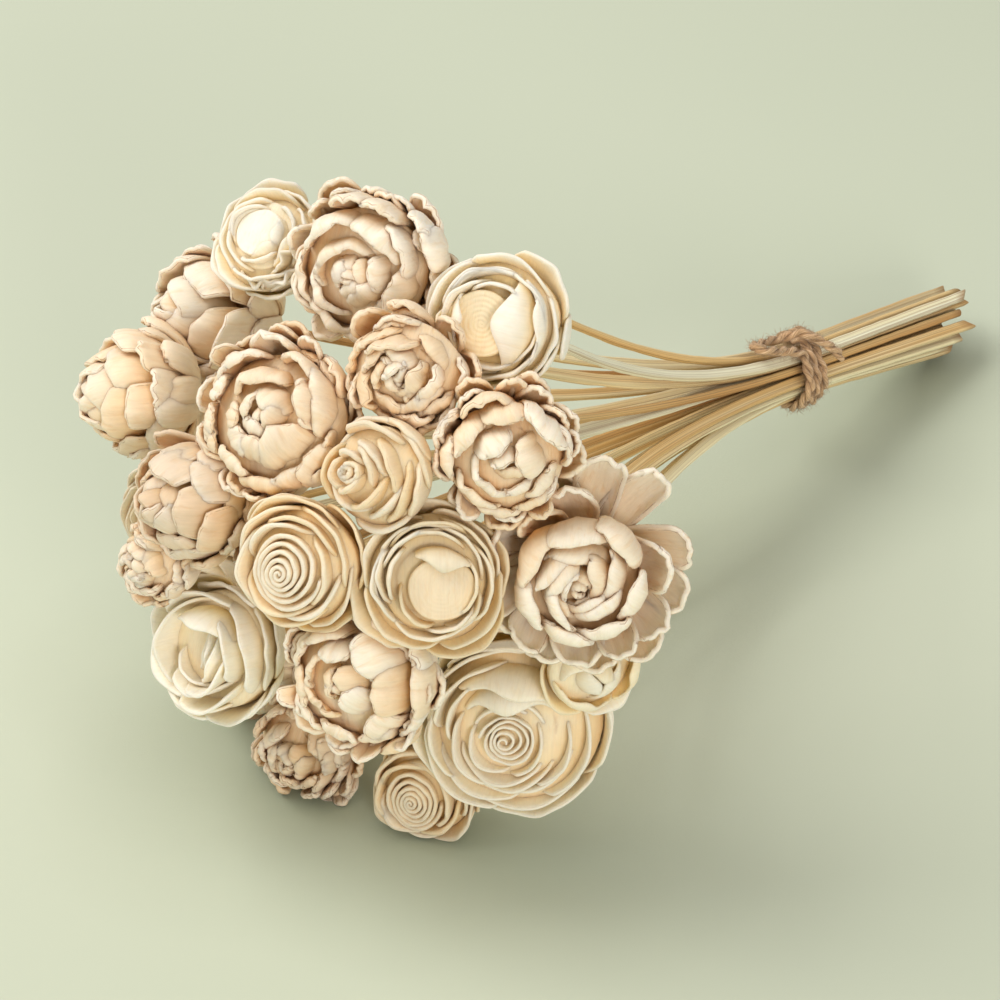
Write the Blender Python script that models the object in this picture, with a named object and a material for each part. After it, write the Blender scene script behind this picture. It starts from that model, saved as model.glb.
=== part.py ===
"""A tied bunch of carved pith flowers on split-reed stems, lying on its side.

The bunch's axis runs from the cut ends, through the tie, to the middle of the dome of flowers.
It slopes up from the surface, so the bunch rests on its lowest flowers and on its cut ends.
A place on the axis is measured from the tie, positive towards the flowers. A clock angle turns
about the axis from its upper side, 90 degrees being the side towards -Y.
"""

import math
from collections import namedtuple

import bmesh
import bpy
from mathutils import Matrix, Vector

MM = 0.001

# The bunch
SLOPE = math.radians(15.85)
TIE_POINT = Vector((90.1, -4.3, 33.9)) * MM
CUT_LENGTH = 85 * MM
CUT_UNEVENNESS = 5 * MM
CUT_SLANT = 0.8
CUT_SLANT_CLOCK = math.radians(118)
CUT_SPREAD = 1.31
CUT_TWIST = math.radians(-8)
SEAT_GAP = 0.3 * MM

# The stems
REED_DIAMETER = 2.6 * MM
SPLIT_WIDTH = 3.6 * MM
SPLIT_THICKNESS = 1.7 * MM
STEM_CLEARANCE = 0.35 * MM
STEM_BEND_STEPS = 9
FLAT_FACES = math.radians(35)
TIE_CROWDING = 0.11
TIE_PULL = 0.98
SETTLING_STEPS = 500

# The twine
TWINE_DIAMETER = 3.2 * MM
TWINE_TURNS = 3
TWINE_PITCH = 3.9 * MM
TWINE_CLEARANCE = 0.6 * MM
TWINE_STEPS_A_TURN = 18
TWINE_PLACE = 4 * MM
TWINE_SLANT = 0.4
TWINE_SLANT_CLOCK = math.radians(78)

# The flowers: the share of its full radius that a head's solid keeps, how far its back narrows
# to the stem, and its facets
HEAD_SNUGNESS = 0.94
HEAD_TAPER = 0.35
HEAD_FACETS_ROUND = 20
HEAD_FACETS_DEEP = 9

# Front height and back depth as shares of the radius, petals in a ring, and notch between petals
Kind = namedtuple("Kind", "front back petals notch colour")
KINDS = {
    "peony": Kind(0.72, 0.85, 5, 0.12, (0.80, 0.62, 0.43)),
    "lotus": Kind(1.00, 0.80, 5, 0.12, (0.82, 0.64, 0.44)),
    "spiral_rose": Kind(0.55, 0.90, 4, 0.08, (0.86, 0.74, 0.55)),
    "button_rose": Kind(0.50, 0.90, 4, 0.08, (0.90, 0.80, 0.63)),
    "cup_rose": Kind(0.60, 0.95, 4, 0.08, (0.90, 0.80, 0.62)),
}

# Each head: millimetres across and from the tie, then degrees off the axis and round it for
# its place, and the same two for the way that it faces.
Head = namedtuple("Head", "name across reach off clock face_off face_clock")
HEADS = [
    Head("button_rose_1", 31, 238, 20.1, 322, 32, 11),
    Head("button_rose_2", 36, 240, 18.9, 25, 26, 45),
    Head("button_rose_3", 38, 262, 10.9, 82, 38, 62),
    Head("button_rose_4", 28, 224, 20.4, 106, 64, 94),
    Head("spiral_rose_1", 30, 268, 9.3, 43, 10, 31),
    Head("spiral_rose_2", 36, 273, 3.3, 84, 13, 72),
    Head("spiral_rose_3", 31, 227, 21.93, 161, 21, 114),
    Head("spiral_rose_4", 52, 223, 18.9, 132, 31, 79),
    Head("spiral_rose_5", 43, 230, 21.0, 243, 18, 240),
    Head("spiral_rose_6", 34, 240, 14.5, 222, 10, 215),
    Head("cup_rose_1", 40, 261, 11.0, 206, 4, 354),
    Head("lotus_1", 41, 231, 20.0, 294, 22, 307),
    Head("lotus_2", 38, 255, 16.8, 280, 37, 260),
    Head("lotus_3", 37, 270, 6.0, 275, 11, 266),
    Head("peony_1", 43, 242, 17.3, 352, 18, 78),
    Head("peony_2", 44, 266, 7.6, 346, 23, 18),
    Head("peony_3", 34, 257, 13.8, 23, 22, 69),
    Head("peony_4", 37, 254, 16.3, 52, 40, 71),
    Head("peony_5", 25, 268, 10.2, 240, 14, 225),
    Head("peony_6", 55, 235, 18.6, 81, 38, 75),
    Head("peony_7", 42, 263, 9.6, 131, 15, 68),
    Head("peony_8", 32, 233, 21.03, 189, 9, 143),
    Head("peony_9", 45, 216, 22.88, 212, 14, 200),
    Head("peony_10", 44, 220, 23.0, 268, 24, 262),
]

AXIS = Vector((-math.cos(SLOPE), 0, math.sin(SLOPE)))
UPPER = Vector((math.sin(SLOPE), 0, math.cos(SLOPE)))
SIDE = Vector((0, -1, 0))


def across_axis(clock):
    """The unit vector square to the axis at this clock angle, in radians."""
    return math.cos(clock) * UPPER + math.sin(clock) * SIDE


FLAT_NORMAL = across_axis(FLAT_FACES)
FLAT_ACROSS = across_axis(FLAT_FACES - math.pi / 2)


def off_axis(off, clock):
    """The unit vector this far off the axis and round it, both in degrees."""
    off = math.radians(off)
    return math.cos(off) * AXIS + math.sin(off) * across_axis(math.radians(clock))


def kind_of(head):
    return head.name.rsplit("_", 1)[0]


def head_middle(head):
    return TIE_POINT + head.reach * MM * off_axis(head.off, head.clock)


def head_radius(head):
    return HEAD_SNUGNESS * head.across * MM / 2


def facing_matrix(head):
    """Turns +Z to the way that the head faces, with X level."""
    facing = off_axis(head.face_off, head.face_clock)
    level = Vector((0, 0, 1)).cross(facing).normalized()
    turn = Matrix((level, facing.cross(level), facing)).transposed()
    return Matrix.Translation(head_middle(head)) @ turn.to_4x4()


def is_reed(index):
    """Every third stem is a round reed, and the rest are split flat."""
    return index % 3 == 2


def stem_halves(index):
    """Half of a stem's width and half of its thickness."""
    if is_reed(index):
        return REED_DIAMETER / 2, REED_DIAMETER / 2
    return SPLIT_WIDTH / 2, SPLIT_THICKNESS / 2


def stem_slots():
    """Where each stem passes the tie, as (across its flat, through its flat) from the axis.

    A stem starts at its head's bearing, drawn in. Then the twine pulls all of them together,
    and each pair that is too close is pushed apart, the shorter way.
    """
    slots = []
    for head in HEADS:
        sideways = head_middle(head) - TIE_POINT
        slots.append(Vector((sideways.dot(FLAT_ACROSS), sideways.dot(FLAT_NORMAL))) * TIE_CROWDING)
    for step in range(SETTLING_STEPS):
        pull = TIE_PULL if step < SETTLING_STEPS * 0.7 else 1
        slots = [slot * pull for slot in slots]
        for i, first in enumerate(slots):
            for j in range(i):
                apart = first - slots[j]
                need = [a + b + STEM_CLEARANCE for a, b in zip(stem_halves(i), stem_halves(j))]
                short = [need[k] - abs(apart[k]) for k in (0, 1)]
                if min(short) <= 0:
                    continue
                k = 0 if short[0] < short[1] else 1
                push = math.copysign(short[k] / 2, apart[k])
                first[k] += push
                slots[j][k] -= push
    return slots


def stem_route(index, slot):
    """Points along a stem from its cut end: straight through the tie, then bent to its head."""
    head = HEADS[index]
    kind = KINDS[kind_of(head)]
    facing = off_axis(head.face_off, head.face_clock)
    seat = head_middle(head) - facing * (head_radius(head) * kind.back + SEAT_GAP)
    tie = TIE_POINT + slot.x * FLAT_ACROSS + slot.y * FLAT_NORMAL
    cut_slot = Matrix.Rotation(CUT_TWIST, 2) @ slot * CUT_SPREAD
    sideways = cut_slot.x * FLAT_ACROSS + cut_slot.y * FLAT_NORMAL
    cut_length = CUT_LENGTH + CUT_UNEVENNESS * math.sin(2.4 * index)
    cut_length -= CUT_SLANT * across_axis(CUT_SLANT_CLOCK).dot(sideways)
    cut_end = TIE_POINT + sideways - AXIS * cut_length
    onward = (tie - cut_end).normalized()
    span = (seat - tie).length
    handle_1 = tie + onward * span * 0.45
    handle_2 = seat - facing * span * 0.22
    points = [cut_end, cut_end.lerp(tie, 0.5)]
    for step in range(STEM_BEND_STEPS + 1):
        t = step / STEM_BEND_STEPS
        s = 1 - t
        points.append(s**3 * tie + 3 * s * s * t * handle_1 + 3 * s * t * t * handle_2 + t**3 * seat)
    return points


def smooth_through(points, steps):
    """A Catmull-Rom curve through the points, with this many steps between two of them."""
    ends = [2 * points[0] - points[1], *points, 2 * points[-1] - points[-2]]
    smooth = []
    for a, b, c, d in zip(ends, ends[1:], ends[2:], ends[3:]):
        for step in range(steps):
            t = step / steps
            bend = (2 * a - 5 * b + 4 * c - d) * t * t + (3 * b - a - 3 * c + d) * t**3
            smooth.append(b + ((c - a) * t + bend) / 2)
    return smooth + [points[-1]]


def bundle_reach(slots, clock):
    """How far the bundle of stems reaches from the axis towards this clock angle."""
    across = across_axis(clock).dot(FLAT_ACROSS)
    through = across_axis(clock).dot(FLAT_NORMAL)
    reaches = []
    for i, slot in enumerate(slots):
        half_width, half_thickness = stem_halves(i)
        edge = abs(across) * half_width + abs(through) * half_thickness
        reaches.append(slot.x * across + slot.y * through + edge)
    return max(reaches)


def twine_route(slots):
    """The strand: a short end, over the turns, out and back in a loop, then round the stems."""

    def place(along, clock, lift):
        clock = math.radians(clock)
        out = bundle_reach(slots, clock) + TWINE_DIAMETER / 2 + TWINE_CLEARANCE + lift * MM
        slant = TWINE_SLANT * out * math.cos(clock - TWINE_SLANT_CLOCK)
        return TIE_POINT + (TWINE_PLACE + along * MM + slant) * AXIS + out * across_axis(clock)

    half_width = TWINE_TURNS * TWINE_PITCH / 2 / MM
    first_clock = 24
    over_and_loop = [
        place(-12.5, 58, 1.2),
        place(-10, 47, 2.6),
        place(-5, 36, 3.8),
        place(0, 24, 4.0),
        place(5, 8, 3.7),
        place(11, -8, 1.9),
        place(18, -14, 1.2),
        place(24.5, -12, 1.6),
        place(28, 0, 2.4),
        place(25.5, 13, 2.4),
        place(19, 19, 1.6),
        place(12.5, 22, 0.8),
    ]
    turns = []
    steps = TWINE_TURNS * TWINE_STEPS_A_TURN
    for step in range(steps):
        share = step / steps
        along = half_width * (1 - 2 * share)
        turns.append(place(along, first_clock + 8 + 360 * TWINE_TURNS * share, 0))
    return smooth_through(over_and_loop, 2) + turns


def material(name, colour, roughness):
    made = bpy.data.materials.new(name)
    made.use_nodes = True
    shader = made.node_tree.nodes["Principled BSDF"]
    shader.inputs["Base Color"].default_value = (*colour, 1)
    shader.inputs["Roughness"].default_value = roughness
    shader.inputs["Metallic"].default_value = 0
    return made


def make_head(head, collection):
    """A plain solid of the head's outer shape: a rounded form, notched between its petals."""
    kind = KINDS[kind_of(head)]
    radius = head_radius(head)
    form = bmesh.new()
    bmesh.ops.create_uvsphere(
        form, u_segments=HEAD_FACETS_ROUND, v_segments=HEAD_FACETS_DEEP, radius=radius
    )
    for vertex in form.verts:
        point = vertex.co
        height = point.z / radius
        turn = math.atan2(point.y, point.x)
        ring = round(math.acos(max(-1, min(1, height))) * HEAD_FACETS_DEEP / math.pi)
        notch = kind.notch * (1 - math.cos(kind.petals * turn + math.pi * ring)) / 2
        waist = 1 - notch - HEAD_TAPER * max(0, -height)
        depth = kind.front if height > 0 else kind.back
        vertex.co = (point.x * waist, point.y * waist, point.z * depth)
    mesh = bpy.data.meshes.new(head.name)
    form.to_mesh(mesh)
    form.free()
    mesh.shade_smooth()
    solid = bpy.data.objects.new(head.name, mesh)
    solid.matrix_world = facing_matrix(head)
    mesh.materials.append(material(head.name, kind.colour, 0.75))
    collection.objects.link(solid)


def make_rod(name, points, bevel_depth, extrude, bevel_resolution, collection):
    """A rod along the points: round, or flat where extrude isn't 0, its flats kept level."""
    curve = bpy.data.curves.new(name, "CURVE")
    curve.dimensions = "3D"
    curve.twist_mode = "Z_UP"
    curve.bevel_depth = bevel_depth
    curve.bevel_resolution = bevel_resolution
    curve.extrude = extrude
    curve.use_fill_caps = True
    spline = curve.splines.new("POLY")
    spline.points.add(len(points) - 1)
    for spot, point in zip(spline.points, points):
        spot.co = (*point, 1)
        spot.tilt = math.pi / 2 - FLAT_FACES
    rod = bpy.data.objects.new(name, curve)
    collection.objects.link(rod)
    return rod


def make_stem(index, slot, collection):
    points = stem_route(index, slot)
    name = "stem_of_" + HEADS[index].name
    if is_reed(index):
        stem = make_rod(name, points, REED_DIAMETER / 2, 0, 1, collection)
        stem.data.materials.append(material(name, (0.60, 0.42, 0.23), 0.6))
        return
    half_thickness = SPLIT_THICKNESS / 2
    half_flat = SPLIT_WIDTH / 2 - half_thickness
    stem = make_rod(name, points, half_thickness, half_flat, 0, collection)
    stem.data.materials.append(material(name, (0.68, 0.58, 0.35), 0.55))


def main():
    for old in list(bpy.data.objects):
        bpy.data.objects.remove(old)
    collection = bpy.data.collections.new("flower_bunch")
    bpy.context.scene.collection.children.link(collection)
    slots = stem_slots()
    for index, head in enumerate(HEADS):
        make_head(head, collection)
        make_stem(index, slots[index], collection)
    twine = make_rod("twine_tie", twine_route(slots), TWINE_DIAMETER / 2, 0, 2, collection)
    twine.data.materials.append(material("twine_tie", (0.46, 0.29, 0.16), 0.9))


main()
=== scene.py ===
"""The looks of a tied bunch of carved pith flowers on split-reed stems, lying on its side.

Every flower is carved petal by petal: a petal is a closed sheet of pith with a rounded rim, bent
along a curve drawn in the plane of the flower's axis and cupped across it. A flower's own frame
has Z along the way that it faces and X level, and its lengths are shares of its radius.
"""

import math
from collections import namedtuple

import bpy
import numpy as np
from mathutils import Matrix, Vector


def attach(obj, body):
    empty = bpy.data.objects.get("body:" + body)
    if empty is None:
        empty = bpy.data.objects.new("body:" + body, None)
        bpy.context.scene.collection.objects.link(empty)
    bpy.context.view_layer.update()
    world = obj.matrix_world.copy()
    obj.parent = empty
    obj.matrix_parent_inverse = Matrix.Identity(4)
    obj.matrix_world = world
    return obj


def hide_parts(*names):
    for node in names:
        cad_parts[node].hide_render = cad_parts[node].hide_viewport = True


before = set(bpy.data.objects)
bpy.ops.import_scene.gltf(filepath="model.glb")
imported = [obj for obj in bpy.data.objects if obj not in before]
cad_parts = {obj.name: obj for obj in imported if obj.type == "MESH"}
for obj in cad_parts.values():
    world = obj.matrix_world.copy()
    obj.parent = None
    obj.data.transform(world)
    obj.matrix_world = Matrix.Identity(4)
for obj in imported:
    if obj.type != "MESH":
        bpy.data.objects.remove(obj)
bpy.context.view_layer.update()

MM = 0.001

# The bunch's layout, as its solids have it: the tie and the cut ends
SLOPE = math.radians(15.85)
TIE_POINT = Vector((90.1, -4.3, 33.9)) * MM
CUT_LENGTH = 85 * MM
CUT_UNEVENNESS = 5 * MM
CUT_RHYTHM = 2.4
CUT_SLANT = 0.8
CUT_SLANT_CLOCK = math.radians(118)
CUT_SPREAD = 1.31
CUT_TWIST = math.radians(-8)
CUT_DEPTH = 12 * MM
CUT_STEEPNESS = 1.6
# The stems, of round reed and of split reed
PALE_STEM = "spiral_rose_1"
PALE_STEM_WIDTH = 4.3 * MM
PALE_STEM_TONE = -0.2
REED_DIAMETER = 2.6 * MM
SPLIT_WIDTH = 3.6 * MM
SPLIT_THICKNESS = 1.7 * MM
SPLIT_ROUNDING = 0.32 * MM
STEM_UNEVENNESS = 0.8 * MM
BROWN_END = 6 * MM
SEAT_GAP = 0.3 * MM
STEM_CLEARANCE = 0.35 * MM
STEM_BEND_STEPS = 9
STEM_STEP = 3 * MM
SPLIT_OUTLINE_POINTS = 22
REED_SIDES = 14
# How the stems differ: the least and the most of a split stem's width and thickness, and seeds
WIDTH_SHARES = (0.94, 1.08)
THICKNESS_SHARES = (0.92, 1.08)
STEM_SEED = 5
STEM_SEED_STEP = 3.7
# How far a stem keeps its way past the tie and before its head, as shares of the span between
STIFF_PAST_TIE = 0.45
STIFF_BEFORE_HEAD = 0.22
# The way that the split stems' flat faces lie, round the bunch's axis
FLAT_FACES = math.radians(35)
# How the stems settle at the tie: they start at this share of their heads' way off the axis, and
# are drawn in by this factor at each step, for this share of the steps
TIE_CROWDING = 0.11
TIE_PULL = 0.98
SETTLING_STEPS = 500
PULLED_SHARE = 0.7
# The twine's turns round the stems
TWINE_DIAMETER = 3.2 * MM
TWINE_TURNS = 3
TWINE_PITCH = 3.9 * MM
TWINE_CLEARANCE = 0.6 * MM
TWINE_STEPS_A_TURN = 18
TWINE_PLACE = 4 * MM
TWINE_SLANT = 0.4
TWINE_SLANT_CLOCK = math.radians(78)
# The short end, where it crosses the turns, and the loop: millimetres along the axis from the
# turns' middle, degrees round it, and millimetres of lift off the stems
TWINE_END_AND_LOOP = (
    (-12.5, 58, 1.2), (-10, 47, 2.6), (-5, 36, 3.8), (0, 24, 4.0), (5, 8, 3.7), (11, -8, 1.9),
    (18, -14, 1.2), (24.5, -12, 1.6), (28, 0, 2.4), (25.5, 13, 2.4), (19, 19, 1.6), (12.5, 22, 0.8),
)
FIRST_TURN_CLOCK = 32
# The twine's strand: how far its two plies take for a turn, how they lie as shares of its
# diameter, and its fibres
TWINE_LAY = 11 * MM
PLY_REACH = 0.235
PLY_RADIUS = 0.285
TWINE_STEP = 0.7 * MM
TWINE_LUMPS = 0.7 * MM
FIBRES = 2600.0
FIBRE_LENGTH = 3.2 * MM
FIBRE_RADIUS = 0.045 * MM
# How far a fibre leans each way, in radians, the least and the most of its length, and how many
# sides it and a ply have
FIBRE_LEAN = 0.9
FIBRE_SHARES = (0.35, 1.15)
FIBRE_SIDES = 3
PLY_SIDES = 9
HEAD_SNUGNESS = 0.94

# How deep a head's back is, as a share of its radius
BACKS = {"peony": 0.85, "lotus": 0.80, "spiral_rose": 0.90, "button_rose": 0.90, "cup_rose": 0.95}
SLOTS = {
    "peony": "pith_beige",
    "lotus": "pith_beige",
    "spiral_rose": "pith_cream",
    "button_rose": "pith_ivory",
    "cup_rose": "pith_ivory",
}
# How far some heads have aged, partly painted shade: above 0 is duller and warmer than the rest, below 0 is
# paler
AGE_AND_SHADE = {
    "lotus_1": -0.2, "lotus_3": 0.2, "peony_1": -0.18, "peony_2": 0.03,
    "peony_3": 0.04, "peony_5": 0.1, "peony_6": -0.16, "peony_8": 0.2,
    "peony_9": -0.1, "peony_10": -0.15, "spiral_rose_1": 0.12, "spiral_rose_2": 0.06,
    "spiral_rose_3": 0.14, "spiral_rose_4": -0.3, "spiral_rose_5": 0.15, "spiral_rose_6": -0.3,
    "button_rose_1": -0.2, "button_rose_2": -0.3, "button_rose_3": 0.12, "cup_rose_1": -0.35,
}

# Each head: millimetres across and from the tie, then degrees off the axis and round it for
# its place, and the same two for the way that it faces.
Head = namedtuple("Head", "name across reach off clock face_off face_clock")
LAYOUT = (
    ("button_rose_1", 31, 238, 20.1, 322, 32, 11),
    ("button_rose_2", 36, 240, 18.9, 25, 26, 45),
    ("button_rose_3", 38, 262, 10.9, 82, 38, 62),
    ("button_rose_4", 28, 224, 20.4, 106, 64, 94),
    ("spiral_rose_1", 30, 268, 9.3, 43, 10, 31),
    ("spiral_rose_2", 36, 273, 3.3, 84, 13, 72),
    ("spiral_rose_3", 31, 227, 21.93, 161, 21, 114),
    ("spiral_rose_4", 52, 223, 18.9, 132, 31, 79),
    ("spiral_rose_5", 43, 230, 21.0, 243, 18, 240),
    ("spiral_rose_6", 34, 240, 14.5, 222, 10, 215),
    ("cup_rose_1", 40, 261, 11.0, 206, 4, 354),
    ("lotus_1", 41, 231, 20.0, 294, 22, 307),
    ("lotus_2", 38, 255, 16.8, 280, 37, 260),
    ("lotus_3", 37, 270, 6.0, 275, 11, 266),
    ("peony_1", 43, 242, 17.3, 352, 18, 78),
    ("peony_2", 44, 266, 7.6, 346, 23, 18),
    ("peony_3", 34, 257, 13.8, 23, 22, 69),
    ("peony_4", 37, 254, 16.3, 52, 40, 71),
    ("peony_5", 25, 268, 10.2, 240, 14, 225),
    ("peony_6", 55, 235, 18.6, 81, 38, 75),
    ("peony_7", 42, 263, 9.6, 131, 15, 68),
    ("peony_8", 32, 233, 21.03, 189, 9, 143),
    ("peony_9", 45, 216, 22.88, 212, 14, 200),
    ("peony_10", 44, 220, 23.0, 268, 24, 262),
)
HEADS = [Head(*row) for row in LAYOUT]

AXIS = Vector((-math.cos(SLOPE), 0, math.sin(SLOPE)))
UPPER = Vector((math.sin(SLOPE), 0, math.cos(SLOPE)))
SIDE = Vector((0, -1, 0))


def across_axis(clock):
    """The unit vector square to the axis at this clock angle, in radians."""
    return math.cos(clock) * UPPER + math.sin(clock) * SIDE


FLAT_NORMAL = across_axis(FLAT_FACES)
FLAT_ACROSS = across_axis(FLAT_FACES - math.pi / 2)


def off_axis(off, clock):
    """The unit vector this far off the axis and round it, both in degrees."""
    off = math.radians(off)
    return math.cos(off) * AXIS + math.sin(off) * across_axis(math.radians(clock))


def kind_of(head):
    return head.name.rsplit("_", 1)[0]


def head_middle(head):
    return TIE_POINT + head.reach * MM * off_axis(head.off, head.clock)


def facing_matrix(head):
    """Turns +Z to the way that the head faces, with X level."""
    facing = off_axis(head.face_off, head.face_clock)
    level = Vector((0, 0, 1)).cross(facing).normalized()
    turn = Matrix((level, facing.cross(level), facing)).transposed()
    return Matrix.Translation(head_middle(head)) @ turn.to_4x4()


def is_reed(index):
    """Every third stem is a round reed, and the rest are split flat."""
    return index % 3 == 2


def stem_halves(index):
    """Half of a stem's width and half of its thickness."""
    if is_reed(index):
        return REED_DIAMETER / 2, REED_DIAMETER / 2
    return SPLIT_WIDTH / 2, SPLIT_THICKNESS / 2


def stem_slots():
    """Where each stem passes the tie, as (across its flat, through its flat) from the axis."""
    slots = []
    for head in HEADS:
        sideways = head_middle(head) - TIE_POINT
        slots.append(Vector((sideways.dot(FLAT_ACROSS), sideways.dot(FLAT_NORMAL))) * TIE_CROWDING)
    for step in range(SETTLING_STEPS):
        pull = TIE_PULL if step < SETTLING_STEPS * PULLED_SHARE else 1
        slots = [slot * pull for slot in slots]
        for i, first in enumerate(slots):
            for j in range(i):
                apart = first - slots[j]
                need = [a + b + STEM_CLEARANCE for a, b in zip(stem_halves(i), stem_halves(j))]
                short = [need[k] - abs(apart[k]) for k in (0, 1)]
                if min(short) <= 0:
                    continue
                k = 0 if short[0] < short[1] else 1
                push = math.copysign(short[k] / 2, apart[k])
                first[k] += push
                slots[j][k] -= push
    return slots


def stem_route(index, slot):
    """Points along a stem from its cut end: straight through the tie, then bent to its head."""
    head = HEADS[index]
    facing = off_axis(head.face_off, head.face_clock)
    back = HEAD_SNUGNESS * head.across * MM / 2 * BACKS[kind_of(head)]
    seat = head_middle(head) - facing * (back + SEAT_GAP)
    tie = TIE_POINT + slot.x * FLAT_ACROSS + slot.y * FLAT_NORMAL
    cut_slot = Matrix.Rotation(CUT_TWIST, 2) @ slot * CUT_SPREAD
    sideways = cut_slot.x * FLAT_ACROSS + cut_slot.y * FLAT_NORMAL
    cut_length = CUT_LENGTH + CUT_UNEVENNESS * math.sin(CUT_RHYTHM * index)
    cut_length -= CUT_SLANT * across_axis(CUT_SLANT_CLOCK).dot(sideways)
    cut_end = TIE_POINT + sideways - AXIS * cut_length
    onward = (tie - cut_end).normalized()
    span = (seat - tie).length
    handle_1 = tie + onward * span * STIFF_PAST_TIE
    handle_2 = seat - facing * span * STIFF_BEFORE_HEAD
    points = [cut_end, cut_end.lerp(tie, 0.5)]
    for step in range(STEM_BEND_STEPS + 1):
        t = step / STEM_BEND_STEPS
        s = 1 - t
        points.append(s**3 * tie + 3 * s * s * t * handle_1 + 3 * s * t * t * handle_2 + t**3 * seat)
    return points


def smooth_through(points, steps):
    """A Catmull-Rom curve through the points, with this many steps between two of them."""
    ends = [2 * points[0] - points[1], *points, 2 * points[-1] - points[-2]]
    smooth = []
    for a, b, c, d in zip(ends, ends[1:], ends[2:], ends[3:]):
        for step in range(steps):
            t = step / steps
            bend = (2 * a - 5 * b + 4 * c - d) * t * t + (3 * b - a - 3 * c + d) * t**3
            smooth.append(b + ((c - a) * t + bend) / 2)
    return smooth + [points[-1]]


def bundle_reach(slots, clock):
    """How far the bundle of stems reaches from the axis towards this clock angle."""
    across = across_axis(clock).dot(FLAT_ACROSS)
    through = across_axis(clock).dot(FLAT_NORMAL)
    reaches = []
    for i, slot in enumerate(slots):
        half_width, half_thickness = stem_halves(i)
        edge = abs(across) * half_width + abs(through) * half_thickness
        reaches.append(slot.x * across + slot.y * through + edge)
    return max(reaches)


def twine_route(slots):
    """The strand: a short end, over the turns, out and back in a loop, then round the stems."""

    def place(along, clock, lift):
        clock = math.radians(clock)
        out = bundle_reach(slots, clock) + TWINE_DIAMETER / 2 + TWINE_CLEARANCE + lift * MM
        slant = TWINE_SLANT * out * math.cos(clock - TWINE_SLANT_CLOCK)
        return TIE_POINT + (TWINE_PLACE + along * MM + slant) * AXIS + out * across_axis(clock)

    half_width = TWINE_TURNS * TWINE_PITCH / 2 / MM
    turns = []
    steps = TWINE_TURNS * TWINE_STEPS_A_TURN
    for step in range(steps):
        share = step / steps
        along = half_width * (1 - 2 * share)
        turns.append(place(along, FIRST_TURN_CLOCK + 360 * TWINE_TURNS * share, 0))
    return smooth_through([place(*spot) for spot in TWINE_END_AND_LOOP], 2) + turns


# ---------------------------------------------------------------------------- node trees


WHITE = (1.0, 1.0, 1.0)


def feed(tree, socket, value):
    """Gives an input its value, or links it to the socket that feeds it."""
    if isinstance(value, bpy.types.NodeSocket):
        tree.links.new(value, socket)
    else:
        socket.default_value = value


def add_node(tree, kind, inputs=None, **settings):
    """A node with its settings, its inputs given as values or as the sockets that feed them."""
    node = tree.nodes.new(kind)
    for key, value in settings.items():
        setattr(node, key, value)
    for key, value in (inputs or {}).items():
        feed(tree, node.inputs[key], value)
    return node


def output_of(tree, kind, inputs=None, **settings):
    """The first output of a new node."""
    return add_node(tree, kind, inputs, **settings).outputs[0]


def math_node(tree, operation, *values, clamp=False):
    inputs = dict(enumerate(values))
    return output_of(tree, "ShaderNodeMath", inputs, operation=operation, use_clamp=clamp)


def vector_math(tree, operation, *values):
    return output_of(tree, "ShaderNodeVectorMath", dict(enumerate(values)), operation=operation)


def scaled(tree, vector, factor):
    inputs = {0: vector, "Scale": factor}
    return output_of(tree, "ShaderNodeVectorMath", inputs, operation="SCALE")


def combined(tree, x, y, z):
    return output_of(tree, "ShaderNodeCombineXYZ", {"X": x, "Y": y, "Z": z})


def ramp_node(tree, fac, *stops):
    """A colour ramp through (place, colour or grey) stops."""
    node = add_node(tree, "ShaderNodeValToRGB", {"Fac": fac})
    elements = node.color_ramp.elements
    while len(elements) < len(stops):
        elements.new(0.5)
    for element, (place, colour) in zip(elements, stops):
        element.position = place
        shade = (colour,) * 3 if isinstance(colour, (int, float)) else colour
        element.color = (*shade, 1)
    return node.outputs["Color"]


def mix_colour(tree, fac, first, second, blend="MIX"):
    node = add_node(tree, "ShaderNodeMix", {0: fac}, data_type="RGBA", blend_type=blend)
    for place, colour in ((6, first), (7, second)):
        feed(tree, node.inputs[place], (*colour, 1) if isinstance(colour, tuple) else colour)
    return node.outputs[2]


def multiplied(tree, fac, colour, shade):
    return mix_colour(tree, fac, colour, shade, "MULTIPLY")


def noise_node(tree, vector, scale, detail=3, roughness=0.55, distortion=0.0):
    inputs = {"Vector": vector, "Scale": scale, "Detail": detail, "Roughness": roughness}
    inputs["Distortion"] = distortion
    return add_node(tree, "ShaderNodeTexNoise", inputs).outputs["Fac"]


def drawn_out_noise(tree, vector, stretch, scale, *settings):
    """Noise that is finer along some directions than along others."""
    return noise_node(tree, vector_math(tree, "MULTIPLY", vector, stretch), scale, *settings)


def openness(tree, distance):
    """1 where nothing else is within this distance of the surface, down to 0 where it is shut in."""
    occlusion = add_node(tree, "ShaderNodeAmbientOcclusion", {"Distance": distance}, samples=2)
    return occlusion.outputs["AO"]


def shaded_where_shut_in(tree, fac, colour, distance, shut, shade, clear):
    """Painted shade: the colour times a shade below the openness called shut, and times white above clear.
    """
    closeness = ramp_node(tree, openness(tree, distance), (shut, shade), (clear, WHITE))
    return multiplied(tree, fac, colour, closeness)


def linear(red, green, blue):
    """A colour given as it shows, from 0 to 255, as the linear values that a shader takes."""
    shares = (value / 255 for value in (red, green, blue))
    return tuple(s / 12.92 if s <= 0.04045 else ((s + 0.055) / 1.055) ** 2.4 for s in shares)


def new_material(name):
    """An empty material, its tree, and its Principled shader."""
    made = bpy.data.materials.new(name)
    made.use_nodes = True
    return made, made.node_tree, made.node_tree.nodes["Principled BSDF"]


def attribute(tree, name, output="Fac"):
    return add_node(tree, "ShaderNodeAttribute", attribute_name=name).outputs[output]


def object_place(tree):
    return add_node(tree, "ShaderNodeTexCoord").outputs["Object"]


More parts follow.
